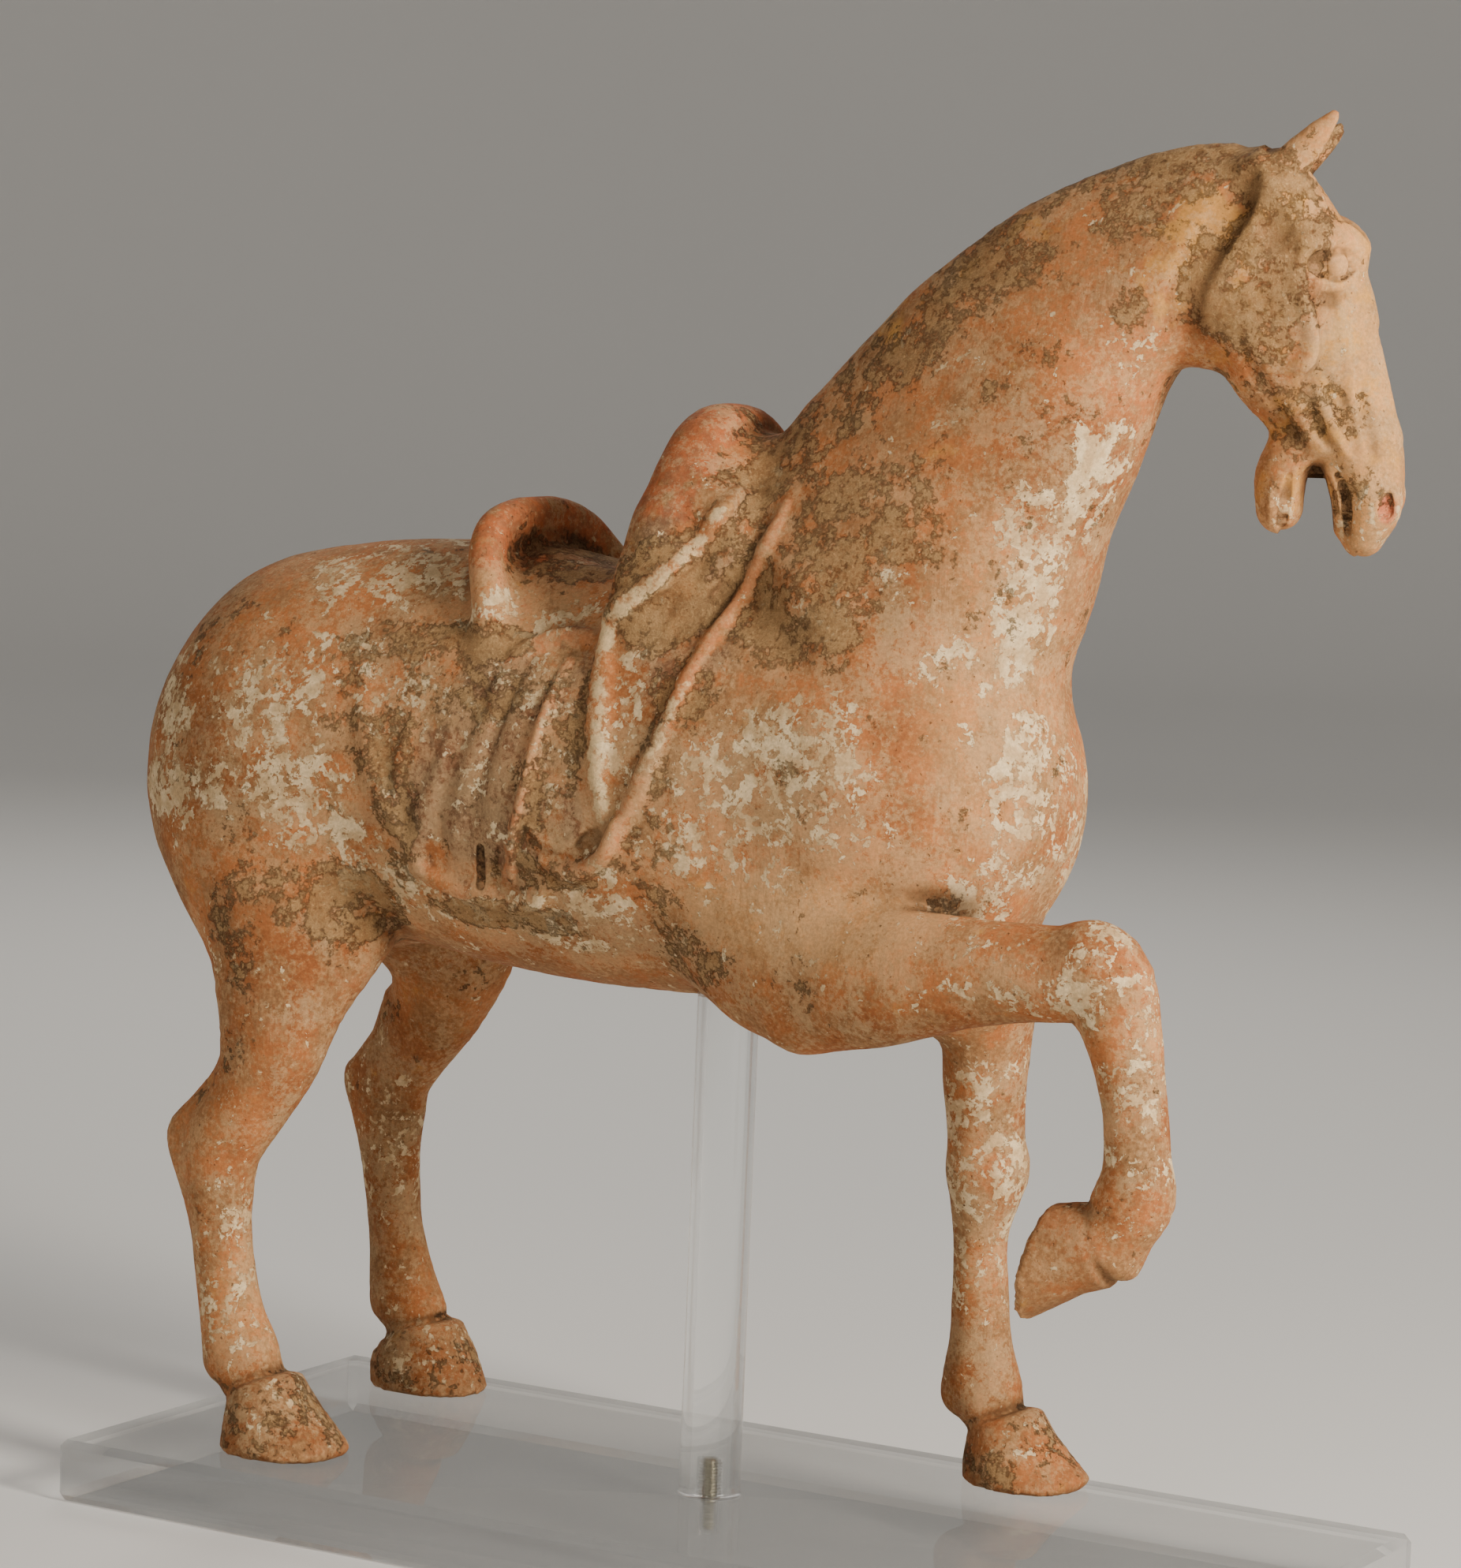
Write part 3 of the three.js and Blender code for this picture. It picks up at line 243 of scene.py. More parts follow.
def add_hind_legs():
    lump(14, [-197, -40, 236], [46, 31, 62], [0, -14, 0])
    body(10, [
        [-176, -43, 210, 32.5, 47, 29, 0.3], [-183, -50, 182, 25, 34.5, 22, 0.2],
        [-187, -54, 158, 20, 24.5, 17, 0.1], [-197, -57, 136, 17, 18, 14.5],
        [-207, -59, 120, 17, 18, 13], [-208, -60, 104, 15, 15, 12],
        [-205, -62, 85, 12.5, 12.5, 11], [-202, -63, 66, 13, 12, 11],
        [-198, -64, 50, 14.5, 12, 12], [-193, -64.7, 37, 17, 13, 13.5],
        [-186, -65.5, 27, 14, 12, 14],
    ], cap=0.7)
    body(5, [
        [-203, -52, 160, 6, 5, 6], [-210, -54, 147, 6, 5.5, 6],
        [-220, -56.5, 133, 7, 6, 6.5], [-229, -58, 121, 7, 6.5, 6.5],
        [-224.5, -59, 106, 6, 5.5, 6], [-216.5, -60, 88, 5, 5, 5],
        [-209.5, -62, 66, 5, 4.5, 5], [-204.5, -64, 40, 6, 5.5, 6],
    ])
    lump(5, [-199.5, -65, 32], [9, 8.5, 9])
    add_standing_hoof(
        [-178, -66.3, 25, 15, 15.5, 17], [-174, -66.4, 13, 19.5, 21, 21],
        [-170.5, -66.5, 1, 26, 25.5, 24])

    lump(14, [-188, 40, 240], [46, 31, 58], [0, -14, 0])
    body(10, [
        [-168, 42, 222, 40, 36, 28], [-172, 49, 190, 28.5, 27, 21],
        [-180, 54, 167, 20, 23, 17], [-193, 58, 149, 16.5, 17, 14.5],
        [-204, 60, 133, 15.5, 17, 13], [-207, 61, 119, 15.5, 16, 12],
        [-207, 63, 103, 12.5, 13.5, 11], [-206, 65, 75, 11, 11.5, 10.5],
        [-204, 66, 58, 12.5, 12, 11], [-202, 67, 40, 16.5, 14, 13],
        [-196, 67.4, 29, 15, 12.5, 14],
    ], cap=0.7)
    body(5, [
        [-202, 55, 168, 6, 5, 6], [-209, 58, 151, 6, 5.5, 6],
        [-220, 60.5, 137, 7, 6, 6.5], [-225, 62, 130, 7, 6.5, 6.5],
        [-222, 63, 116, 6, 5.5, 6], [-217, 64, 96, 5, 5, 5],
        [-213, 66, 70, 5, 4.5, 5], [-210, 67, 44, 6, 5.5, 6],
    ])
    lump(5, [-207, 67, 34], [9, 8.5, 8])
    add_standing_hoof(
        [-189.5, 67.5, 25, 15.5, 14.5, 17], [-188.5, 67.5, 13, 21, 25, 20.5],
        [-188.5, 67.5, 1, 27.5, 25.5, 21.5])


def add_forelegs():
    lump(18, [62, 40, 238], [42, 30, 54], [0, 10, 0])
    body(12, [
        [72, 50, 205, 30, 24, 24], [75, 58, 185, 20, 17.5, 19],
        [74, 62, 162, 17, 16.5, 16], [74, 65, 140, 16, 15.5, 15],
        [74.5, 67, 126, 17.5, 16.5, 16], [73, 68, 113, 14, 13.5, 13.5],
        [71.5, 70, 98, 11, 11, 10.8], [71, 72, 75, 11.5, 11, 10.8],
        [71, 74, 55, 13, 12.5, 12], [71.5, 75.3, 40, 16, 15.5, 14],
        [76, 76, 29, 13.5, 13, 14],
    ], cap=0.7)
    lump(5, [64, 76, 32], [9, 8.5, 8.5])
    add_standing_hoof(
        [84, 76, 24, 14.5, 16.5, 16.5], [87.5, 76, 12, 19, 21.5, 20],
        [91, 76, 1, 25.5, 24, 22])

    # The raised right foreleg
    lump(18, [42, -36, 222], [44, 28, 37], [0, -6, 0])
    body(8, [
        [48, -40, 216, 30, 34, 24], [85, -52, 218, 26, 28, 20],
        [125, -57, 223, 20, 21, 17], [158, -58, 226, 17.5, 18, 16.5],
        [181, -58, 226, 18, 18, 16], [189, -58, 207, 15.7, 13.5, 13.5],
        [194, -58, 184, 14, 10.5, 11.5], [197, -58, 163, 13.7, 11, 11.5],
        [198, -58, 148, 15, 15.5, 13.5], [192, -58, 138, 15, 12.5, 13],
        [186, -58, 131, 18, 12.5, 14],
    ], cap=0.7)
    lump(6, [180, -58, 233], [15.5, 14, 12.5], [0, 30, 0])
    hoof = sweep([
        [184, -58, 130, 17.5, 14.5, 15.5], [173, -58, 126, 17.5, 17, 18],
        [161, -58, 120, 18, 20, 20.5], [149, -58, 114, 19, 22.5, 23],
    ], steps=3, cap=0.25)
    clay.join(clipped(hoof, [161, -58, 120], [-0.97, 0, 0.2]), 2)


def reach_from(inside, out):
    """How far the surface lies from points inside the clay, going outwards."""
    inside, out = np.asarray(inside, float), np.asarray(out, float)
    near, span = np.zeros(len(inside)), LONGEST_REACH
    for count in (56, 24):
        far = near[:, None] + np.linspace(0, span, count)
        d = clay.distance((inside[:, None] + far[..., None] * out).reshape(-1, 3)).reshape(far.shape)
        row, first = np.arange(len(inside)), np.maximum((d > 0).argmax(1), 1)
        near, span = far[row, first - 1], span / (count - 1)
    before, after = d[row, first - 1], d[row, first]
    return near + span * np.clip(before / (before - after), 0, 1)


def ridge(view, places, half, height, blend=2.0):
    """A ridge laid along the surface, or a groove where its height is negative. A place's third
    number, if it has one, is the share of the width and height there."""
    inside_of, out = view
    out = np.asarray(out, float)
    depth = max(2, abs(height))
    share = np.array([place[2] if len(place) > 2 else 1.0 for place in places])
    inside = np.array([inside_of(place) for place in places], float)
    reach = reach_from(inside, out) + height * share - math.copysign(depth, height)
    spots = inside + reach[:, None] * out
    shape = sweep([[*spot, half * k, half * k, depth] for spot, k in zip(spots, share)], across=out)
    if height > 0:
        clay.join(shape, blend)
    else:
        clay.cut(shape, blend)


def flank(side):
    return (lambda place: [place[0], 0, place[1]]), [0, side, 0]


def arch(half, inward, outward, thick, blend, skew=0.0):
    rows = [[x, -y, z] for x, y, z in half[:0:-1]] + half
    stations = [[x + skew * y, y, z, inward, outward, thick] for x, y, z in rows]
    body(blend, stations, across=(1, 0, 0))


# Lines of the saddle and its cloth, seen from the side, each place as x, z and share
SADDLE_EDGE = [[8, 393, 0.6], [4, 383, 1.2], [-3, 372, 1.3], [-14, 360, 1.3], [-25, 352, 1.3],
               [-35, 344, 1.1], [-37, 330], [-34, 314, 1.2], [-31, 296, 1.2], [-29, 282, 0.9],
               [-26, 268, 0.3]]
CLOTH_EDGE = [[29, 390, 0.4], [26, 379], [20, 364], [12, 346], [5, 330], [1, 314, 1.2], [-4, 299, 1.3],
              [-9, 285, 1.2], [-17, 268], [-23, 257, 0.8]]
LEATHER = [[-62, 324, 0.7], [-65, 300], [-70, 275], [-74, 256, 0.8]]
LEATHER_EDGE = [[-53, 325, 0.4], [-56, 308], [-59, 290], [-62, 272], [-67, 255, 0.7], [-70, 240, 0.5]]
BAR = [[-78, 326, 0.6], [-68, 331], [-56, 334], [-46, 334, 0.6]]
CLOTH_BACK = [[-146, 318, 0.4], [-140, 295], [-133, 275], [-123, 258], [-114, 243], [-110, 236, 0.5]]
HEM = [[-113, 240, 0.5], [-99, 235], [-84, 232, 1.1], [-70, 230], [-60, 234, 0.9], [-52, 241, 0.4]]
CORNER = [[-20, 266, 0.6], [-24, 256], [-32, 249], [-43, 245], [-54, 249, 0.5]]


def uneven(places, seed):
    """The same line, smoother and with a hand-laid width."""
    rng = np.random.default_rng(seed)
    rows = smooth_rows([[x, z, rest[0] if rest else 1.0] for x, z, *rest in places], 2)
    return [[x, z, share * rng.uniform(0.82, 1.12)] for x, z, share in rows]


def add_saddle():
    arch([
        [-17, 0, 419], [-17.5, 12, 418], [-18, 23, 412], [-19, 32, 401], [-21, 39, 387], [-24, 45, 370],
        [-27, 49, 352], [-28, 49, 330],
    ], 26, 7, 12, 9)
    lump(10, [-7, 0, 386], [21, 42, 27], [0, 12, 0])
    for side in (-1, 1):
        lump(9, [-15, side * 40, 366], [12, 12, 24], [0, -30, 0])
        lump(9, [3, side * 35, 374], [15, 10, 20], [0, -20, 0])
    arch([
        [-104.5, 0, 379], [-104.5, 16, 378], [-104, 29, 373.5], [-101, 38, 365], [-95, 45, 353],
        [-90, 49, 341], [-88, 49, 325],
    ], 16, 6.5, 7, 7, skew=0.09)
    clay.cut(egg([-62, 0, 394], [33, 32, 35]), 8)
    clay.cut(egg([7, -4, 426], [9, 26, 9], [0, 20, 0]), 5)
    for side in (-1, 1):
        view = flank(side)
        ridge(view, uneven(SADDLE_EDGE, 5), 3.4, 2.3, 3.5)
        ridge(view, uneven(CLOTH_EDGE, 9), 2.8, 2.2, 3)
        ridge(view, LEATHER, 9, 1.8, 2.5)
        ridge(view, LEATHER_EDGE, 2.4, 3.4, 2)
        ridge(view, BAR, 4.5, 1.4, 3)
        ridge(view, CLOTH_BACK, 3, 1.6, 4)
        ridge(view, [[-99, 290, 0.4], [-106, 270], [-112, 254], [-116, 240, 0.5]], 3, 0.7, 4)
        ridge(view, [[-80, 316, 0.4], [-84, 296], [-90, 275], [-94, 255, 0.5]], 3.4, 0.7, 4)
        ridge(view, HEM, 4.2, 2.6, 4)
        ridge(view, CORNER, 3.8, 3.8, 3)
    near = flank(-1)
    ridge(near, [[-83, 251], [-84, 243], [-85, 236]], 1.7, -3.4, 1)
    ridge(near, [[-29, 260], [-36, 257]], 3.2, -1.5, 3.5)
    # Creases too slight for the solid: beside the leather, in the cloth and under the bar
    ridge(near, [[-60, 262, 0.4], [-52, 256], [-44, 256], [-36, 262, 0.5]], 2.2, 1.2, 2)
    ridge(near, [[-118, 300, 0.4], [-121, 282], [-122, 266, 0.5]], 2.4, 0.7, 2.5)
    ridge(near, [[-101, 262, 0.4], [-100, 250], [-102, 240, 0.5]], 1.8, -0.9, 2)
    ridge(near, [[-74, 251, 0.4], [-76, 242], [-77, 234, 0.4]], 1.8, -1, 2)
    ridge(near, [[14, 383, 0.4], [8, 370], [-1, 356], [-10, 343], [-16, 328, 0.4]], 3, 0.8, 3)


# The head has its own frame: s forward along the face, n to its left and z up
HEAD_AT = np.array([200.0, 8.0, 510.0])
HEAD_TURN = math.radians(17)
HEAD_LEAN = math.radians(5)
head_forward = Vector((math.cos(HEAD_TURN), math.sin(HEAD_TURN), 0))
head_up = Matrix.Rotation(HEAD_LEAN, 3, head_forward) @ Vector((0, 0, 1))
head_side = head_up.cross(head_forward)
HEAD_BASIS = np.array([head_forward, head_side, head_up]).T


def on_head(row):
    s, n, z, *rest = row
    return [*(HEAD_BASIS @ np.array([s, n, z - HEAD_AT[2]]) + HEAD_AT), *rest]


def cheek(side):
    return (lambda place: on_head([place[0], 0, place[1]])), np.array(head_side) * side


def head_body(blend, rows, **options):
    body(blend, [on_head(row) for row in rows], across=tuple(head_side), **options)


def head_egg(centre, radii, pitch=0):
    return egg(on_head(centre), radii, basis=HEAD_BASIS @ euler_matrix((0, pitch, 0)))


def head_lump(blend, *form):
    clay.join(head_egg(*form), blend)


def cheek_reach(side, s, z):
    inside_of, out = cheek(side)
    return reach_from([inside_of((s, z))], out)[0]


def add_ear(side, tip_forward, tip_up):
    def at(t):
        return [9 + (tip_forward - 9) * t, side * (10 + 3.5 * t), 523 + (tip_up - 523) * t]
    head_body(3, [
        [*at(0), 6.8, 7.6, 5], [*at(0.35), 5.8, 6.4, 4.2],
        [*at(0.7), 4.2, 4.4, 3.2], [*at(1), 2, 2, 1.8],
    ], steps=5)


EYE_SLANT = 42           # how far the cheek at the eye faces forward, in degrees


def add_eye(side, view):
    at = np.array([29.5, side * cheek_reach(side, 29.5, 488.5), 488.5])
    corner = np.array([22.8, side * cheek_reach(side, 22.8, 489), 489])
    slant = math.radians(EYE_SLANT)
    outward = np.array([math.sin(slant), side * math.cos(slant), 0])
    basis = HEAD_BASIS @ euler_matrix((0, 0, -side * EYE_SLANT))
    ridge(view, [[17, 490.5, 0.3], [19.5, 496, 0.9], [25, 498.6], [31, 497.6], [36, 493, 0.5]], 3.6, 2, 3)
    ridge(view, [[17.5, 487.5, 0.4], [20, 483.6], [25, 481.4], [30, 481.8], [35, 485, 0.4]], 2.2, 1.2, 2.5)
    clay.cut(egg(on_head(corner - outward * 0.6), [4.3, 4.8, 4.7], basis=basis), 1.6)
    clay.cut(egg(on_head(at + outward * 1.5), [6.6, 2.8, 5.2], basis=basis), 2)
    lump(1.2, on_head(at - outward * 1.7), [5, 4.7, 5.2], basis=basis)


def add_face_side(side):
    view = cheek(side)
    head_lump(3, [2, side * 13, 476], [21, 10.5, 27], -14)
    ridge(view, [[-3, 519, 0.4], [-6.5, 512], [-11, 504], [-16.5, 495], [-21, 487], [-24, 478], [-25, 469],
                 [-24, 461, 0.6]], 5, -3.4, 6)
    ridge(view, [[13, 495, 0.4], [15, 487], [17, 480], [19.5, 472], [22, 464], [22.5, 457, 0.7],
                 [19, 452, 0.3]], 5.5, 2, 7)
    ridge(view, [[4, 511, 0.5], [6.5, 506], [9, 501.5], [12, 498], [15.5, 494.5, 0.6]], 4.5, -2.4, 5)
    ridge(view, [[14, 494, 0.4], [19, 498.5], [25, 500], [31, 498.5], [35, 494], [36.5, 489, 0.4]], 4.6,
          1.8 if side < 0 else 1, 5)
    add_eye(side, view)
    ridge(view, [[19.5, 442, 0.3], [23.4, 432.5], [27.5, 426], [31, 421, 0.4]], 2.2, -1.5, 3)
    ridge(view, [[25, 443, 0.3], [28.5, 434], [32, 427], [35, 421, 0.4]], 2.4, 1, 3)
    ridge(view, [[28, 447, 0.3], [31.5, 440.5], [34, 435.5], [37, 429], [39.5, 421, 0.4]], 2.2, -1.5, 3)
    ridge(view, [[39, 444, 0.3], [41.5, 436], [43.6, 427.4], [45.5, 419, 0.4]], 2, -1.2, 3)
    ridge(view, [[9, 431, 0.3], [12, 426], [15, 422], [18.5, 418.5, 0.4]], 4, -1.8, 5)
    nostril = (50.3, 401.5)
    rim = cheek_reach(side, *nostril)
    head_lump(3, [nostril[0], side * (rim - 3), nostril[1]], [5.4, 4.4, 8], 12)
    clay.cut(head_egg([nostril[0] + 0.6, side * (rim + 2.0), nostril[1] - 0.4], [2.5, 4.2, 5.8], 12), 0.8)
    clay.cut(head_egg([nostril[0] + 0.9, side * (rim + 1.4), nostril[1] - 2.8], [3.0, 3.6, 3.2], 12), 0.8)
    ridge(view, [[14.8, 410, 0.5], [13.8, 403], [12.8, 397], [12, 391, 0.8]], 1.9, -2.6, 1.8)
    # Slighter marks: a second groove in the jaw, a crease behind the lip, veins down the cheek
    ridge(view, [[8.6, 407, 0.4], [8.2, 401], [8, 396], [7.6, 391, 0.6]], 1.5, 0.9, 1.2)
    ridge(view, [[32.4, 411, 0.5], [35.3, 405], [36.4, 398], [36.6, 390, 0.8]], 1.2, -2.4, 1.6)
    ridge(view, [[28, 410, 0.5], [30.3, 404], [31.5, 398, 0.6]], 1.1, -1.2, 1.4)
    ridge(view, [[20.5, 484, 0.3], [23.6, 476], [26.4, 468], [27.6, 460], [26, 452], [21, 446, 0.4]],
          2.6, -1.2, 3)
    ridge(view, [[14.4, 486, 0.4], [18.1, 477, 0.8], [20.9, 468], [21.9, 460], [20, 453.8], [13.5, 451, 0.7],
                 [6, 450, 0.3]], 2.6, 1.2, 2.5)
    ridge(view, [[-4, 459, 0.4], [0, 450], [6, 441], [12, 432, 0.4]], 2, -0.7, 3)
    ridge(view, [[30, 474, 0.3], [32.5, 462], [35, 450], [37, 440, 0.4]], 2, 0.5, 3)
    ridge(view, [[21, 479, 0.3], [24, 476.5], [29, 476], [33, 478, 0.3]], 1.6, -0.6, 2)


def add_head():
    head_body(8, [
        [2, 0, 524, 10, 14, 15, 0.1], [7, 0, 507, 17.5, 20, 20, 0.12],
        [9, 0, 491, 26.5, 28, 21, 0.14], [11, 0, 474, 30.5, 31.5, 20, 0.2],
        [15, 0, 459, 30.5, 30, 18.5, 0.2], [22, 0, 446, 26.5, 27, 16.5, 0.1],
        [28, 0, 433, 23.5, 22, 15, 0.05], [31, 0, 423, 22.5, 18.5, 14, 0],
    ], steps=6, cap=0.5)
    head_body(6, [
        [40, 0, 418, 15.5, 12, 13.5], [44, 0, 408, 12.3, 10.5, 13.5],
        [45.2, 0, 398, 10, 10, 13], [42, 0, 388, 7.5, 8.5, 9.5],
    ])
    head_body(3, [
        [30, 0, 414, 6, 4.5, 9], [33.5, 0, 402, 5, 4.5, 8.5],
        [35, 0, 391, 4, 4.5, 6],
    ])
    head_body(5, [
        [16, 0, 421, 8, 10, 12], [12, 0, 409, 8, 11.3, 11.5],
        [11, 0, 397, 8, 9.5, 10.5],
    ])
    head_lump(10, [-20, 0, 456], [10, 8, 7])
    add_ear(-1, 26.3, 542.7)
    add_ear(1, 26, 536.7)
    for side in (-1, 1):
        add_face_side(side)


def model_clay():
    add_trunk()
    add_neck()
    add_hind_legs()
    add_forelegs()
    add_saddle()
    add_head()


# The horse's fine mesh
COARSE = 3.3     # voxel size of the first remesh, in millimetres
TIP_SWELL = 1.2                    # how much fatter the head is remeshed, so that its tips survive
LONGEST_STEP = 1.6                 # how far a point is moved in one round of the projection
NORMAL_SHARE = 0.05                # keeps a step finite where the field is flat
HORSE_SHIFT = np.array([0.0, HORSE_LEFT, STANDING])
ROD_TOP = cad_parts["support_rod"].bound_box[1][2] / MM
SEAT_TOP = ROD_TOP + CLEARANCE - STANDING
SEAT_AT = np.array([ROD_AT[0], ROD_AT[1] - HORSE_LEFT])


def cut_rod_seat():
    radius = ROD_RADIUS + CLEARANCE

    def distance(p, most=FAR):
        return np.maximum(np.linalg.norm(p[:, :2] - SEAT_AT, axis=1) - radius, p[:, 2] - SEAT_TOP)

    low = np.array([*(SEAT_AT - radius), 120.0])
    high = np.array([*(SEAT_AT + radius), SEAT_TOP])
    clay.cut((low, high, distance), 0.8)


def project(p, rounds):
    """Moves points onto the surface of the clay."""
    for _ in range(rounds):
        d = clay.distance(p)
        g = clay.slope(p, d)
        step = -d[:, None] * g / np.maximum((g * g).sum(1, keepdims=True), NORMAL_SHARE)
        size = np.linalg.norm(step, axis=1, keepdims=True)
        p = p + step * np.minimum(1, LONGEST_STEP / np.maximum(size, 1e-9))
    return p


def vertex_rows(mesh, kind="co"):
    rows = np.empty(len(mesh.vertices) * 3)
    mesh.vertices.foreach_get(kind, rows)
    return rows.reshape(-1, 3)


def on_clay(points):
    """Points of the scene, in metres, in the figure's own millimetres."""
    return points / MM - HORSE_SHIFT


def in_scene(points):
    return (points + HORSE_SHIFT) * MM


def remeshed(obj, voxel):
    modifier = obj.modifiers.new("remesh", "REMESH")
    modifier.mode = "VOXEL"
    modifier.voxel_size = voxel * MM
    graph = bpy.context.evaluated_depsgraph_get()
    mesh = bpy.data.meshes.new_from_object(obj.evaluated_get(graph))
    obj.modifiers.clear()
    return mesh


def fine_here(p):
    """Where the figure's modelling is fine enough to need smaller faces."""
    x, y, z = p.T
    head = (x > 168) & (z > 372)
    saddle = (x > -128) & (x < 42) & (z > 224) & (z < 430) & (y < -20)
    hoofs = z < 42
    raised = (x > 140) & (z > 90) & (z < 150) & (y < -20)
    return head | saddle | hoofs | raised


def finest_here(p):
    """The eyes, nostrils and mouth, and the ends of the strap."""
    s, n, z = ((p - HEAD_AT) @ HEAD_BASIS).T
    z = z + HEAD_AT[2]
    eye = (abs(s - 26) < 11) & (abs(z - 489) < 9) & (abs(n) > 10)
    nostril = (abs(s - 50.5) < 7) & (abs(z - 401.5) < 11) & (abs(n) > 4)
    mouth = (s > 6) & (s < 40) & (z > 384) & (z < 416)
    strap = (p[:, 0] > -90) & (p[:, 0] < -22) & (p[:, 2] > 230) & (p[:, 2] < 266) & (p[:, 1] < -40)
    return eye | nostril | mouth | strap


def subdivide(bm, chosen):
    bm.verts.index_update()
    edges = [e for e in bm.edges if chosen[e.verts[0].index] and chosen[e.verts[1].index]]
    bmesh.ops.subdivide_edges(bm, edges=edges, cuts=1, use_grid_fill=True)
    bmesh.ops.triangulate(bm, faces=[f for f in bm.faces if len(f.verts) > 4])
    near = {v for e in edges if e.is_valid for v in e.verts}
    bmesh.ops.smooth_vert(bm, verts=list(near), factor=0.5,
                          use_axis_x=True, use_axis_y=True, use_axis_z=True)


def horse_mesh():
    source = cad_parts["horse"].copy()
    source.data = source.data.copy()
    bpy.context.scene.collection.objects.link(source)
    points = vertex_rows(source.data)
    head = (points[:, 0] > 0.185) & (points[:, 2] > 0.39)
    points += vertex_rows(source.data, "normal") * np.where(head, TIP_SWELL * MM, 0)[:, None]
    source.data.vertices.foreach_set("co", points.ravel())
    source.data.update()
    mesh = remeshed(source, COARSE)
    bpy.data.objects.remove(source)
    points = project(on_clay(vertex_rows(mesh)), 2)
    mesh.vertices.foreach_set("co", in_scene(points).ravel())
    bm = bmesh.new()
    bm.from_mesh(mesh)
    subdivide(bm, fine_here(points))
    subdivide(bm, finest_here(on_clay(np.array([v.co for v in bm.verts]))))
    bm.to_mesh(mesh)
    bm.free()
    points = project(on_clay(vertex_rows(mesh)), 3)
    mesh.vertices.foreach_set("co", in_scene(points).ravel())
    mesh.update()
    mesh.polygons.foreach_set("use_smooth", np.ones(len(mesh.polygons), bool))
    print("horse triangles", sum(len(f.vertices) - 2 for f in mesh.polygons))
    return mesh, points


# Where the paint and earth lie
def value_noise(p, size, seed):
    q = p / size
    cell = np.floor(q).astype(np.int64)
    f = q - cell
    f = f * f * (3 - 2 * f)
    total = np.zeros(len(p))
    for corner in range(8):
        step = np.array([corner & 1, corner >> 1 & 1, corner >> 2 & 1])
        n = ((cell + step) * np.array([73856093, 19349663, 83492791])).sum(1) + seed * 7919
        n = (n ^ (n >> 13)) * 1274126177 & 0x7fffffff
        n = (n ^ (n >> 15)) * 668265263 & 0x7fffffff
        total += np.where(step, f, 1 - f).prod(1) * n / 0x7fffffff
    return total


def patch(p, centre, radii):
    """1 in the middle of an ellipsoid, fading to 0 just outside it."""
    r = np.linalg.norm((p - np.array(centre)) / np.array(radii), axis=1)
    t = np.clip((1.35 - r) / 0.8, 0, 1)
    return t * t * (3 - 2 * t)


def patches(p, rows):
    """The strongest of some patches, each as x, y, z, half sizes and strength."""
    best = np.zeros(len(p))
    for x, y, z, a, b, c, strength in rows:
        best = np.maximum(best, strength * patch(p, (x, y, z), (a, b, c)))
    return best


def line_distance(p, places):
    """How far points lie from a line, seen from the side."""
    q = p[:, [0, 2]]
    best = np.full(len(p), FAR)
    for a, b in zip(places, places[1:]):
        a, b = np.array(a[:2], float), np.array(b[:2], float)
        t = np.clip((q - a) @ (b - a) / ((b - a) @ (b - a)), 0, 1)
        best = np.minimum(best, np.linalg.norm(q - a - t[:, None] * (b - a), axis=1))
    return best


def stroke(p, places, half):
    """1 along a line on either flank, fading to 0 at its edges."""
    return np.clip(1.5 - line_distance(p, places) / half, 0, 1) * (abs(p[:, 1]) > 26)


# The top of the neck, as x and z
CREST = [[14, 395], [40, 421], [70, 453], [105, 488], [140, 512], [175, 524], [205, 522]]


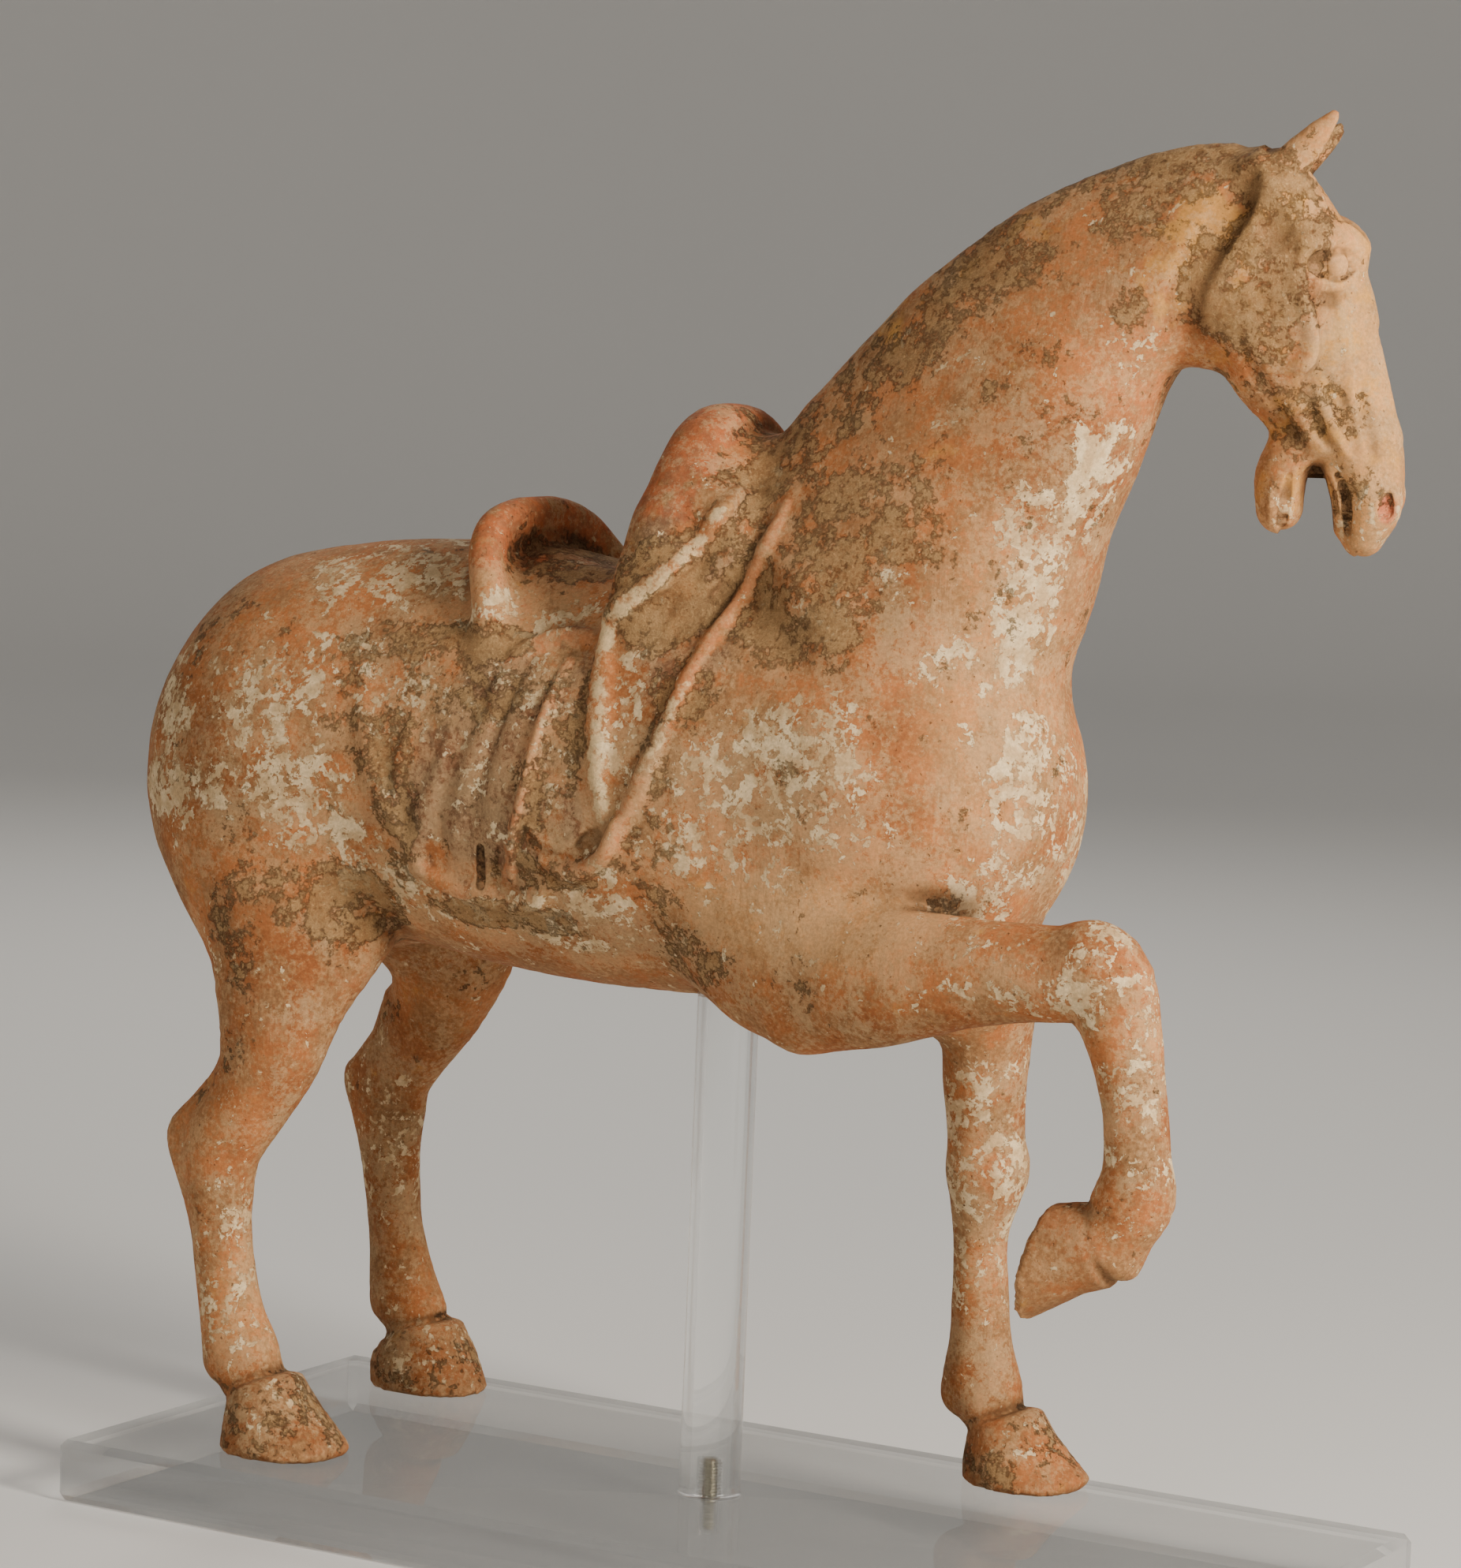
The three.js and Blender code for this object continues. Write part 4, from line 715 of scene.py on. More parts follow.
# White slip left on the clay: the near side follows the photograph, the far side is a free guess
SLIP = [
    [-240, -52, 292, 20, 30, 34, 0.75], [-236, -60, 262, 26, 30, 17, 1], [-203, -73, 266, 24, 30, 14, 0.85],
    [-174, -72, 272, 30, 30, 19, 1], [-168, -71, 250, 20, 30, 9, 0.8], [-186, -70, 300, 32, 30, 20, 0.7],
    [-158, -62, 318, 26, 30, 14, 0.75], [-206, -62, 330, 22, 30, 12, 0.35],
    [-165, -32, 346, 24, 36, 14, 0.85], [-140, -30, 350, 20, 34, 10, 0.7],
    [-148, -64, 246, 18, 30, 26, 0.7], [-124, -64, 300, 16, 30, 30, 0.5], [-92, -64, 302, 22, 30, 18, 0.45],
    [-126, -58, 232, 20, 30, 14, 0.6], [-62, -56, 224, 60, 30, 13, 0.7], [-28, -60, 236, 22, 30, 18, 0.7],
    [-76, -44, 342, 36, 26, 12, 0.75], [-70, -66, 290, 30, 30, 50, 0.5], [-160, -30, 350, 30, 30, 12, 0.9],
    [-22, -66, 300, 10, 30, 36, 0.6], [52, -64, 300, 30, 30, 20, 1], [26, -68, 284, 30, 30, 20, 0.8],
    [20, -68, 262, 34, 30, 18, 0.7], [60, -66, 276, 30, 30, 16, 0.6], [76, -64, 292, 16, 30, 10, 0.85],
    [40, -66, 250, 26, 30, 12, 0.45], [138, -34, 296, 18, 28, 40, 1], [144, -34, 266, 16, 28, 26, 0.95],
    [118, -40, 248, 20, 26, 16, 0.9], [136, -4, 272, 12, 30, 36, 0.7], [128, 24, 260, 18, 26, 40, 0.75],
    [130, -32, 352, 16, 22, 34, 1], [132, -28, 384, 14, 22, 26, 0.9], [150, -16, 404, 14, 18, 26, 1],
    [128, -44, 328, 14, 20, 20, 0.8], [122, -52, 312, 16, 20, 12, 0.5], [96, -44, 426, 14, 14, 7, 0.8],
    [80, -38, 446, 14, 14, 9, 0.5], [166, -24, 455, 12, 14, 14, 0.4], [110, -42, 330, 14, 22, 16, 0.55],
    [84, -46, 366, 14, 22, 16, 0.4], [-140, 0, 352, 40, 60, 14, 0.9], [188, -70, 240, 16, 16, 18, 0.8],
    [120, -72, 212, 60, 20, 8, 0.6], [160, -70, 212, 30, 20, 10, 0.6], [200, -58, 186, 18, 18, 50, 0.6],
    [-195, -64, 60, 22, 22, 60, 0.55], [-172, -66, 18, 24, 24, 16, 0.5], [90, 76, 18, 22, 22, 16, 0.4],
    [-188, 66, 16, 26, 24, 14, 0.6], [76, 62, 130, 26, 24, 50, 0.75], [56, -46, 352, 14, 26, 12, 0.45],
    [182, -66, 228, 12, 22, 22, 0.8], [120, -66, 236, 40, 20, 10, 0.35], [78, 58, 150, 26, 26, 66, 0.55],
    [76, 70, 84, 20, 20, 30, 0.45], [-206, 60, 110, 24, 26, 60, 0.45], [196, -58, 160, 20, 20, 30, 0.4],
    [-205, -66, 210, 20, 24, 20, 0.3], [246, 16, 400, 10, 14, 9, 0.8], [238, 24, 388, 14, 14, 10, 0.5],
    [206, 12, 396, 14, 14, 12, 0.4], [-230, 50, 280, 34, 36, 40, 0.8], [-150, 66, 300, 50, 34, 26, 0.75],
    [-170, 64, 240, 34, 34, 22, 0.6], [-60, 66, 236, 70, 34, 18, 0.6], [40, 66, 290, 50, 34, 30, 0.8],
    [90, 54, 330, 26, 30, 50, 0.6], [20, 60, 250, 50, 30, 24, 0.5], [60, 50, 380, 30, 26, 22, 0.4],
]
# Thin grey-white wash, rubbed to specks
WASH = [
    [40, -66, 275, 60, 34, 40, 1], [-86, -66, 300, 60, 34, 30, 0.8], [50, -50, 350, 50, 34, 34, 0.6],
    [-150, -60, 300, 60, 40, 50, 0.5], [120, -30, 350, 30, 40, 60, 0.6], [-90, -45, 340, 60, 30, 24, 0.8],
    [0, 60, 290, 160, 40, 60, 0.7], [90, -70, 225, 80, 30, 30, 0.4], [80, 66, 120, 40, 40, 90, 0.6],
    [-200, 64, 100, 40, 30, 90, 0.4], [238, 18, 470, 16, 20, 60, 0.5], [230, 6, 450, 20, 24, 50, 0.4],
    [90, -64, 240, 50, 34, 44, 1], [-200, -60, 240, 40, 40, 120, 0.5], [110, -40, 430, 40, 30, 30, 0.5],
    [-60, -60, 250, 140, 34, 80, 0.7], [196, -58, 190, 30, 24, 60, 0.5], [-195, -64, 60, 30, 30, 60, 0.6],
    [0, 0, 20, 400, 120, 30, 0.4],
]
# Grey-brown burial earth
EARTH = [
    [40, -48, 356, 46, 30, 34, 0.85], [70, -42, 388, 36, 28, 30, 0.7], [28, -40, 400, 22, 30, 30, 0.7],
    [204, -12, 478, 24, 20, 32, 0.9], [198, -4, 452, 14, 18, 14, 0.5], [212, 0, 428, 18, 20, 16, 0.4],
    [-14, -50, 352, 26, 24, 26, 0.8], [2, -62, 320, 18, 20, 14, 0.9], [-40, -62, 300, 6, 20, 30, 0.5],
    [-148, -60, 220, 22, 26, 18, 1], [-76, -60, 224, 40, 20, 8, 0.8], [-42, -64, 244, 16, 12, 8, 0.8],
    [-150, -66, 305, 12, 20, 26, 0.5], [-120, -58, 330, 20, 20, 12, 0.6], [-90, -50, 330, 22, 20, 10, 0.8],
    [-30, -20, 350, 30, 30, 14, 0.7], [-70, 0, 362, 36, 40, 14, 0.8], [-10, -56, 252, 22, 20, 20, 0.5],
    [6, -50, 215, 20, 30, 14, 0.6], [224, -2, 494, 10, 14, 12, 0.6], [212, 0, 516, 14, 16, 12, 0.4],
    [-234, -50, 300, 10, 24, 40, 0.5], [-200, -70, 215, 24, 24, 20, 0.4], [-196, -76, 180, 14, 14, 26, 0.4],
    [0, 0, 15, 400, 120, 18, 0.3], [0, 50, 330, 120, 40, 50, 0.6], [204, 26, 478, 24, 16, 32, 0.7],
    [-150, 50, 330, 60, 40, 24, 0.5], [242, 14, 408, 8, 12, 10, 0.5], [-60, 66, 290, 50, 30, 50, 0.4],
    [163, -26, 469, 8, 14, 10, 0.7], [128, -34, 452, 18, 14, 7, 0.75], [112, -40, 438, 14, 14, 8, 0.6],
    [96, -46, 400, 16, 20, 30, 0.5], [76, -50, 420, 24, 20, 24, 0.5], [-88, -68, 316, 40, 24, 16, 0.5],
    [-124, -66, 270, 14, 24, 40, 0.7], [-60, -66, 264, 10, 20, 30, 0.5], [-6, -66, 270, 16, 24, 30, 0.5],
    [74, 66, 176, 20, 20, 26, 0.6], [-176, -72, 224, 16, 24, 14, 0.7], [232, 10, 440, 12, 20, 26, 0.5],
]
OCHRE = [
    [188, -11, 497, 16, 10, 20, 0.9], [176, -16, 486, 14, 10, 24, 0.6], [220, 14, 404, 10, 10, 14, 0.8],
    [202, -8, 500, 14, 14, 14, 0.4], [188, 24, 497, 16, 10, 20, 0.6], [92, -10, 490, 40, 20, 14, 0.45],
    [60, -10, 458, 24, 20, 16, 0.4], [222, 0, 462, 44, 50, 70, 0.5],
]
SADDLE_PAINT = [
    [-22, 0, 404, 26, 70, 44, 1], [-8, 0, 424, 20, 40, 12, 0.7], [-104, 0, 366, 20, 60, 26, 1],
    [-92, 48, 340, 16, 12, 24, 0.7], [-92, -48, 340, 16, 12, 20, 0.6], [-60, 0, 356, 30, 34, 10, 0.3],
]
CLOTH = [
    [-78, -66, 285, 42, 30, 54, 1], [-46, -62, 290, 14, 30, 50, 0.8], [-110, -62, 272, 18, 30, 40, 0.7],
    [0, -54, 335, 26, 26, 50, 0.7], [-12, -48, 372, 22, 24, 26, 0.6], [-4, 54, 335, 26, 26, 50, 0.6],
    [-78, 70, 285, 44, 30, 54, 0.9], [-40, 64, 290, 20, 30, 50, 0.7], [-60, -52, 330, 30, 20, 16, 0.4],
]
# Broad paler patches (1), and darker patches under the belly, under the raised foreleg and on the rump and
# hind leg that are painted shade (-1)
PALE = [
    [240, 16, 450, 20, 26, 80, 1], [120, -30, 320, 30, 40, 70, 0.5], [226, 4, 520, 20, 20, 24, 0.6],
    [60, -60, 235, 60, 26, 20, 0.7], [-180, -62, 60, 26, 24, 30, 0.4],
]
# Painted shade: darker clay under the belly, under the raised foreleg and on the rump and hind leg
PAINTED_SHADE_BELOW = [
    [-40, 0, 200, 160, 60, 16, 0.7], [-195, -62, 190, 30, 24, 50, 0.5], [-160, 0, 200, 50, 50, 30, 0.6],
    [110, -50, 200, 70, 26, 10, 0.5], [-235, 0, 260, 16, 40, 60, 0.4],
]
BARE = [
    [-196, -72, 190, 40, 26, 34, 1], [110, -60, 205, 70, 24, 16, 0.9], [96, -52, 300, 14, 24, 26, 0.7],
    [104, -46, 320, 20, 30, 14, 0.6], [60, 0, 180, 60, 60, 20, 0.7], [-40, 0, 198, 140, 50, 12, 0.9],
    [166, -18, 460, 18, 20, 40, 0.4], [60, -50, 330, 18, 20, 20, 0.4], [-215, -72, 285, 10, 14, 34, 0.4],
]


def inside_depth(p, normal, reach):
    """How much of the way out from the surface other clay fills, from 0 to 1."""
    return np.clip(1 - clay.distance(p + normal * reach) / reach, 0, 1)


def oval(p, centre, radii, size):
    """1 in the middle of an oval on the side of the head, fading to 0 outside it."""
    return np.clip(size - np.linalg.norm((p[:, [0, 2]] - centre) / radii, axis=1), 0, 1)


def nostril_values(p, head_at):
    """The red inside of the nostrils, and the pale paint on their rims."""
    inside, rim = np.zeros(len(p)), np.zeros(len(p))
    worn = 0.25 + 0.75 * value_noise(p, 7, 33)
    for side in (-1, 1):
        r = np.linalg.norm((head_at - [51.2, side * 12, 399.8]) / [2.8, 9, 4.8], axis=1)
        inside = np.maximum(inside, np.clip((1.35 - r) / 0.4, 0, 1))
        rim = np.maximum(rim, np.clip(1 - abs(r - 2.0) / 0.9, 0, 1) * worn)
    return inside, rim


def saddle_values(p):
    """The cream and rosy paint left on the raised edges of the saddle and cloth."""
    height = p[:, 2]
    lower_edge = stroke(p, CLOTH_EDGE, 3.4)
    cream = np.maximum(
        stroke(p, SADDLE_EDGE, 4) * np.where(height < 388, 0.95, 0.3),
        lower_edge * np.where((height < 322) & (height > 282), 0.8, 0.15))
    rosy = np.maximum.reduce([
        stroke(p, LEATHER_EDGE, 3), 0.9 * stroke(p, BAR, 5), 0.5 * stroke(p, HEM, 5),
        0.8 * stroke(p, [[-10, 283], [-17, 268], [-23, 257], [-32, 249], [-44, 246]], 4),
        lower_edge * np.where((height > 316) | (height < 286), 0.9, 0.4)])
    return cream * (0.45 + 1.1 * value_noise(p, 14, 31)), rosy


def region_values(p):
    """The surface's normals, and how strongly each coat and mark shows at its points."""
    normal = unit_rows(clay.slope(p, clay.distance(p)))
    near, wide = inside_depth(p, normal, 5), inside_depth(p, normal, 16)
    head_at = (p - HEAD_AT) @ HEAD_BASIS + [0, 0, HEAD_AT[2]]
    off_middle = abs(head_at[:, 1])
    eyes = oval(head_at, [30.2, 488.5], [3.9, 3.4], 1.5) * (off_middle > 12)
    # The rosy brow above each eye: pink paint that is also a painted highlight on the lump
    brow_tint_and_highlight = oval(head_at, [28, 498], [9, 5], 1.4) * (off_middle > 8)
    nostril, rim = nostril_values(p, head_at)
    cream, rosy = saddle_values(p)
    ridges = np.maximum(stroke(p, SADDLE_EDGE, 3.2), stroke(p, CLOTH_EDGE, 3.2))
    bare = patches(p, BARE)
    crest = np.clip(1.3 - line_distance(p, CREST) / 24, 0, 1)
    soiled = np.maximum(patches(p, EARTH), 0.75 * crest) + 0.5 * near + 0.25 * wide
    return normal, {
        "slip": np.clip(patches(p, SLIP) * (1 - 0.5 * bare), 0, 1),
        "wash": np.maximum(patches(p, WASH), 0.3) * (1 - 0.8 * bare),
        "earth": np.clip(soiled, 0, 1) * (1 - 0.7 * eyes) * (1 - 0.8 * ridges),
        "ochre": patches(p, OCHRE),
        "saddle_paint": patches(p, SADDLE_PAINT) * (1 - ridges),
        "cloth": patches(p, CLOTH) * (1 - 0.7 * ridges),
        "rosy": np.maximum(rosy, 0.6 * brow_tint_and_highlight) * (1 - 0.3 * (p[:, 1] > 0)),
        "cream": np.clip(cream + rim, 0, 1),
        "nostril": nostril,
        "tone_and_shade": np.clip(0.5 + 0.5 * patches(p, PALE) - 0.5 * patches(p, PAINTED_SHADE_BELOW), 0, 1),
        # Painted shade: how deeply each point lies in a crease or hollow, darkened in the shader
        "crease_shade": np.clip(0.7 * near + 0.5 * wide, 0, 1) * (1 - 0.75 * eyes) * (1 - 0.7 * nostril),
        "eyes": eyes,
        "edge": np.clip(1 + clay.distance(p - normal * 3) / 3, 0, 1),
    }


def relief(p, values):
    """The hand-modelled unevenness of the surface, in millimetres along its normal."""
    calm = 1 - 0.75 * ((p[:, 0] > 175) & (p[:, 2] > 372))
    lumps = (0.8 * (value_noise(p, 24, 1) - 0.5) + 0.35 * (value_noise(p, 9, 2) - 0.5)) * calm
    crumbs = (value_noise(p, 3.4, 3) - 0.35) * (0.12 + 0.4 * values["earth"]) * (1 - 0.9 * values["eyes"])
    flakes = 0.2 * (value_noise(p, 5.5, 4) - 0.5) * values["slip"]
    # The soles and the rod's seat stay true
    off_soles = np.clip((p[:, 2] - 2.5) / 5, 0, 1)
    off_seat = np.clip((np.linalg.norm(p[:, :2] - SEAT_AT, axis=1) - ROD_RADIUS - 1) / 6, 0, 1)
    return (lumps + crumbs + flakes) * off_soles * np.where(p[:, 2] < 240, off_seat, 1)


model_clay()
cut_rod_seat()
horse_data, horse_points = horse_mesh()
surface, regions = region_values(horse_points)
horse_points = horse_points + surface * relief(horse_points, regions)[:, None]
horse_points[:, 2] = np.maximum(horse_points[:, 2], 0)
horse_data.vertices.foreach_set("co", in_scene(horse_points).ravel())
horse_data.update()
for region, amount in regions.items():
    horse_data.attributes.new(region, "FLOAT", "POINT").data.foreach_set("value", amount)
horse = bpy.data.objects.new("horse_figure", horse_data)
bpy.context.scene.collection.objects.link(horse)


# Material helpers
def colour(r, g, b):
    """A colour given in the 0 to 255 of a screen."""
    def linear(v):
        v /= 255
        return v / 12.92 if v <= 0.04045 else ((v + 0.055) / 1.055) ** 2.4
    return linear(r), linear(g), linear(b), 1


class Shader:
    """A material whose nodes are added one at a time and joined by what each call is given."""

    def __init__(self, name):
        self.material = bpy.data.materials.new(name)
        self.material.use_nodes = True
        self.tree = self.material.node_tree
        self.surface = self.tree.nodes["Principled BSDF"]
        self.place = self.tree.nodes.new("ShaderNodeTexCoord").outputs["Object"]

    def put(self, socket, value):
        if isinstance(value, bpy.types.NodeSocket):
            self.tree.links.new(value, socket)
        else:
            socket.default_value = value

    def set(self, name, value):
        self.put(self.surface.inputs[name], value)

    def noise(self, size, detail=5, rough=0.6, stretch=(1, 1, 1), turn=(0, 0, 0), shift=0.0, twist=0.0):
        """Noise with features of about this size in millimetres, drawn out along an axis."""
        mapping = self.tree.nodes.new("ShaderNodeMapping")
        self.put(mapping.inputs["Vector"], self.place)
        mapping.inputs["Rotation"].default_value = [math.radians(a) for a in turn]
        mapping.inputs["Scale"].default_value = [1 / MM / size / k for k in stretch]
        mapping.inputs["Location"].default_value = (shift, shift * 1.7, -shift)
        node = self.tree.nodes.new("ShaderNodeTexNoise")
        for name, value in (("Vector", mapping.outputs[0]), ("Scale", 1), ("Detail", detail),
                            ("Roughness", rough), ("Distortion", twist)):
            self.put(node.inputs[name], value)
        return node.outputs[0]

    def region(self, name):
        node = self.tree.nodes.new("ShaderNodeAttribute")
        node.attribute_name = name
        return node.outputs["Fac"]

    def math(self, operation, *values):
        node = self.tree.nodes.new("ShaderNodeMath")
        node.operation = operation
        for socket, value in zip(node.inputs, values):
            self.put(socket, value)
        return node.outputs[0]

    def weighed(self, a, share, b):
        """The mean of two values, the first with this share."""
        return self.math("MULTIPLY_ADD", a, share, self.math("MULTIPLY", b, 1 - share))

    def step(self, value, low, high):
        """0 below low, 1 above high and smooth between them."""
        node = self.tree.nodes.new("ShaderNodeMapRange")
        node.interpolation_type = "SMOOTHSTEP"
        for name, amount in (("Value", value), ("From Min", low), ("From Max", high)):
            self.put(node.inputs[name], amount)
        return node.outputs["Result"]

    def mix(self, amount, a, b, kind="MIX"):
        node = self.tree.nodes.new("ShaderNodeMix")
        node.data_type = "RGBA"
        node.blend_type = kind
        self.put(node.inputs["Factor"], amount)
        for name, value in (("A", a), ("B", b)):
            self.put(next(s for s in node.inputs if s.name == name and s.type == "RGBA"), value)
        return next(s for s in node.outputs if s.type == "RGBA")

    def shades(self, value, low, high, first, second):
        """From one colour below low to another above high."""
        return self.mix(self.step(value, low, high), colour(*first), colour(*second))

    def coat(self, base, cover, strength, paint):
        """Paint over a base where the cover lies, this strong at most."""
        return self.mix(self.math("MULTIPLY", cover, strength), base, paint)

    def flaked(self, region, grain, low, push, soft):
        """A ragged layer: it lies where the grain passes `low` in the middle of its region, and
        has to pass more by `push` outside it."""
        raised = self.math("MULTIPLY_ADD", self.region(region), push, grain)
        return self.step(raised, low + push - soft, low + push + soft)

    def bump(self, height, distance, strength):
        node = self.tree.nodes.new("ShaderNodeBump")
        node.inputs["Strength"].default_value = strength
        node.inputs["Distance"].default_value = distance * MM
        self.put(node.inputs["Height"], height)
        self.set("Normal", node.outputs[0])


# The painted, earth-stained clay
def bare_clay(m, broad, fine, strokes):
    """The clay's own colour, with painted shade under the belly and legs, under a thin film of dirt."""
    tone_and_shade = m.region("tone_and_shade")
    base = m.shades(broad, 0.38, 0.62, (148, 88, 48), (188, 116, 66))
    base = m.coat(base, m.step(fine, 0.42, 0.7), 0.5, colour(204, 142, 88))
    base = m.coat(base, m.step(tone_and_shade, 0.5, 1), 0.8, colour(216, 162, 104))
    # Painted shade: the darker colour where the tone falls below the middle
    base = m.coat(base, m.step(tone_and_shade, 0.5, 0), 0.5, colour(136, 80, 46))
    film = m.step(m.weighed(m.noise(22, 10, 0.72, shift=23), 0.7, fine), 0.44, 0.56)
    under_slip = m.math("MULTIPLY_ADD", m.region("slip"), 0.2, 0.6)
    thickness = m.math("MULTIPLY_ADD", m.region("cloth"), 0.3, under_slip)
    base = m.coat(base, film, thickness, m.shades(fine, 0.4, 0.65, (136, 107, 72), (172, 137, 95)))
    return m.coat(base, m.step(strokes, 0.3, 0.6), 0.15, colour(222, 178, 132))


def paints(m, base, fine):
    """The yellow, saddle and cloth paints, worn through in places."""
    layer = m.flaked("ochre", m.noise(14, 7, 0.65, shift=11), 0.4, 0.3, 0.1)
    base = m.coat(base, layer, 0.75, colour(206, 150, 76))
    layer = m.flaked("saddle_paint", m.noise(13, 8, 0.68, shift=5), 0.4, 0.35, 0.05)
    base = m.coat(base, layer, 0.6, m.shades(m.noise(6, shift=2), 0.4, 0.62, (192, 98, 54), (156, 88, 58)))
    layer = m.flaked("cloth", m.noise(20, 8, 0.62, shift=8), 0.4, 0.35, 0.07)
    base = m.coat(base, layer, 0.7, m.shades(fine, 0.4, 0.7, (108, 80, 60), (158, 122, 92)))
    layer = m.flaked("rosy", m.noise(7, 6, 0.6, shift=4), 0.38, 0.35, 0.06)
    return m.coat(base, layer, 0.6, colour(204, 132, 86))


def wash_and_slip(m, base, broad):
    """Grey wash rubbed to specks, white slip in ragged flakes and cream on the raised edges."""
    specks = m.weighed(m.noise(16, 4, 0.6, shift=6), 0.4, m.noise(2.6, 9, 0.8, shift=13))
    wash = m.flaked("wash", specks, 0.462, 0.09, 0.02)
    base = m.coat(base, wash, 0.5, m.shades(broad, 0.4, 0.6, (190, 158, 116), (208, 164, 116)))
    grain = m.weighed(m.noise(12, 8, 0.64, shift=9, twist=0.6), 0.55,
                      m.noise(3.2, 6, 0.64, shift=12, twist=0.4))
    slip = m.flaked("slip", grain, 0.475, 0.13, 0.006)
    chalk = m.shades(m.noise(9, 6, 0.6, shift=14), 0.4, 0.62, (202, 170, 126), (234, 208, 164))
    base = m.coat(base, slip, 0.9, chalk)
    cream = m.flaked("cream", m.noise(6, 8, 0.7, shift=15), 0.44, 0.3, 0.07)
    return m.coat(base, cream, 0.8, colour(226, 198, 150)), slip


def burial_earth(m, base, grit):
    """Earth crusts, thickest in the hollows, with a painted shadow round their edges, and how far they stand
    out.
    """
    crumbs = m.noise(5.5, 10, 0.78, shift=16)
    grain = m.weighed(m.noise(26, 7, 0.62, shift=17), 0.5, crumbs)
    earth = m.flaked("earth", grain, 0.45, 0.17, 0.024)
    # Painted shadow: a dark rim just outside each earth crust
    crust_edge_shadow = m.flaked("earth", grain, 0.435, 0.17, 0.03)
    base = m.coat(base, crust_edge_shadow, 0.14, colour(104, 74, 46))
    soil = m.shades(m.weighed(crumbs, 0.5, grit), 0.42, 0.58, (140, 106, 66), (192, 154, 104))
    clods = m.math("MULTIPLY_ADD", crumbs, 0.7, m.math("MULTIPLY", m.step(grit, 0.5, 0.62), 0.25))
    height = m.math("MULTIPLY", earth, m.math("ADD", clods, 0.35))
    return m.coat(base, earth, 0.66, soil), height


def clay_shader():
    m = Shader("fired_clay")
    broad = m.noise(60, 4, 0.55, shift=3)
    fine = m.noise(2.4, 6, 0.7, shift=7)
    grit = m.noise(1.3, 4, 0.7, shift=25)
    strokes = m.math("MULTIPLY", m.noise(1.5, 4, 0.6, stretch=(1, 1, 14), turn=(0, 38, 0), shift=1),
                     m.step(m.noise(30, 3, 0.5, shift=22), 0.46, 0.64))
    base = paints(m, bare_clay(m, broad, fine, strokes), fine)
    base, slip = wash_and_slip(m, base, broad)
    base = m.coat(base, m.region("nostril"), 0.85, m.shades(fine, 0.4, 0.65, (178, 84, 56), (206, 112, 80)))
    base = m.coat(base, m.step(m.region("eyes"), 0.1, 0.6), 0.45, colour(206, 158, 112))
    base, height = burial_earth(m, base, grit)
    # Painted shade darkening the deepest creases and hollows, then lighter worn edges, and pits
    base = m.coat(base, m.step(m.region("crease_shade"), 0.18, 0.8), 0.8, colour(84, 56, 32))
    worn = m.math("MULTIPLY", m.step(m.region("edge"), 0.3, 0.8), m.step(fine, 0.4, 0.6))
    base = m.coat(base, worn, 0.4, colour(220, 164, 114))
    pits = m.step(m.noise(2.2, 2, 0.5, shift=20), 0.7, 0.78)
    base = m.coat(base, pits, 0.5, colour(92, 62, 38))
    grainy = m.mix(m.step(grit, 0.34, 0.66), (0.6, 0.58, 0.56, 1), (1.25, 1.22, 1.2, 1))
    m.set("Base Color", m.mix(0.4, base, grainy, "MULTIPLY"))
    m.set("Roughness", m.math("MULTIPLY_ADD", fine, 0.12, m.math("MULTIPLY_ADD", slip, -0.06, 0.84)))
    m.set("Specular IOR Level", 0.25)
    for layer, rise in ((slip, 0.14), (m.noise(0.9, 5, 0.7, shift=21), 0.12), (strokes, 0.2),
                        (fine, 0.2), (pits, -0.4)):
        height = m.math("MULTIPLY_ADD", layer, rise, height)
    m.bump(height, 1, 1)
    return m.material


# Clear plate, rod and steel stud
def acrylic_shader():
    m = Shader("clear_acrylic")
    haze = m.noise(18, 6, 0.65, shift=2)
    marks = m.noise(0.5, 3, 0.6, stretch=(60, 60, 1), turn=(80, 10, 30), shift=4)
    m.set("Base Color", m.mix(m.step(haze, 0.3, 0.7), (0.96, 0.985, 0.98, 1), (0.985, 1.0, 0.995, 1)))
    scratched = m.step(marks, 0.6, 0.75)
    m.set("Roughness", m.math("MULTIPLY_ADD", scratched, 0.02, m.math("MULTIPLY", haze, 0.012)))
    m.set("IOR", 1.49)
    m.set("Transmission Weight", 1)
    m.set("Alpha", 0.55)
    m.bump(marks, 0.002, 0.15)
    return m.material


def steel_shader():
    m = Shader("steel")
    turning = m.noise(0.6, 4, 0.6, stretch=(1, 1, 0.2), shift=2)
    m.set("Base Color", m.mix(turning, colour(150, 144, 128), colour(206, 200, 182)))
    m.set("Roughness", m.math("MULTIPLY_ADD", turning, 0.25, 0.18))
    m.set("Metallic", 1)
    m.bump(turning, 0.05, 0.4)
    return m.material


def mesh_object(name, verts, faces, material):
    mesh = bpy.data.meshes.new(name)
    mesh.from_pydata(verts, [], faces)
    mesh.polygons.foreach_set("use_smooth", np.ones(len(mesh.polygons), bool))
    mesh.materials.append(material)
    obj = bpy.data.objects.new(name, mesh)
    bpy.context.scene.collection.objects.link(obj)
    return obj


def turned(profile, sides, at=(0, 0), unit=1):
    """The points of a profile of radii and heights, turned round an upright axis."""
    return [((at[0] + r * math.cos(a)) * unit, (at[1] + r * math.sin(a)) * unit, z * unit)
            for r, z in profile for a in np.arange(sides) * 2 * math.pi / sides]


def ring_faces(rings, sides):
    return [(i + k, i + (k + 1) % sides, i + (k + 1) % sides + sides, i + k + sides)
            for i in range(0, (rings - 1) * sides, sides) for k in range(sides)]


def end_faces(rings, sides):
    return [tuple(reversed(range(sides))), tuple(range((rings - 1) * sides, rings * sides))]


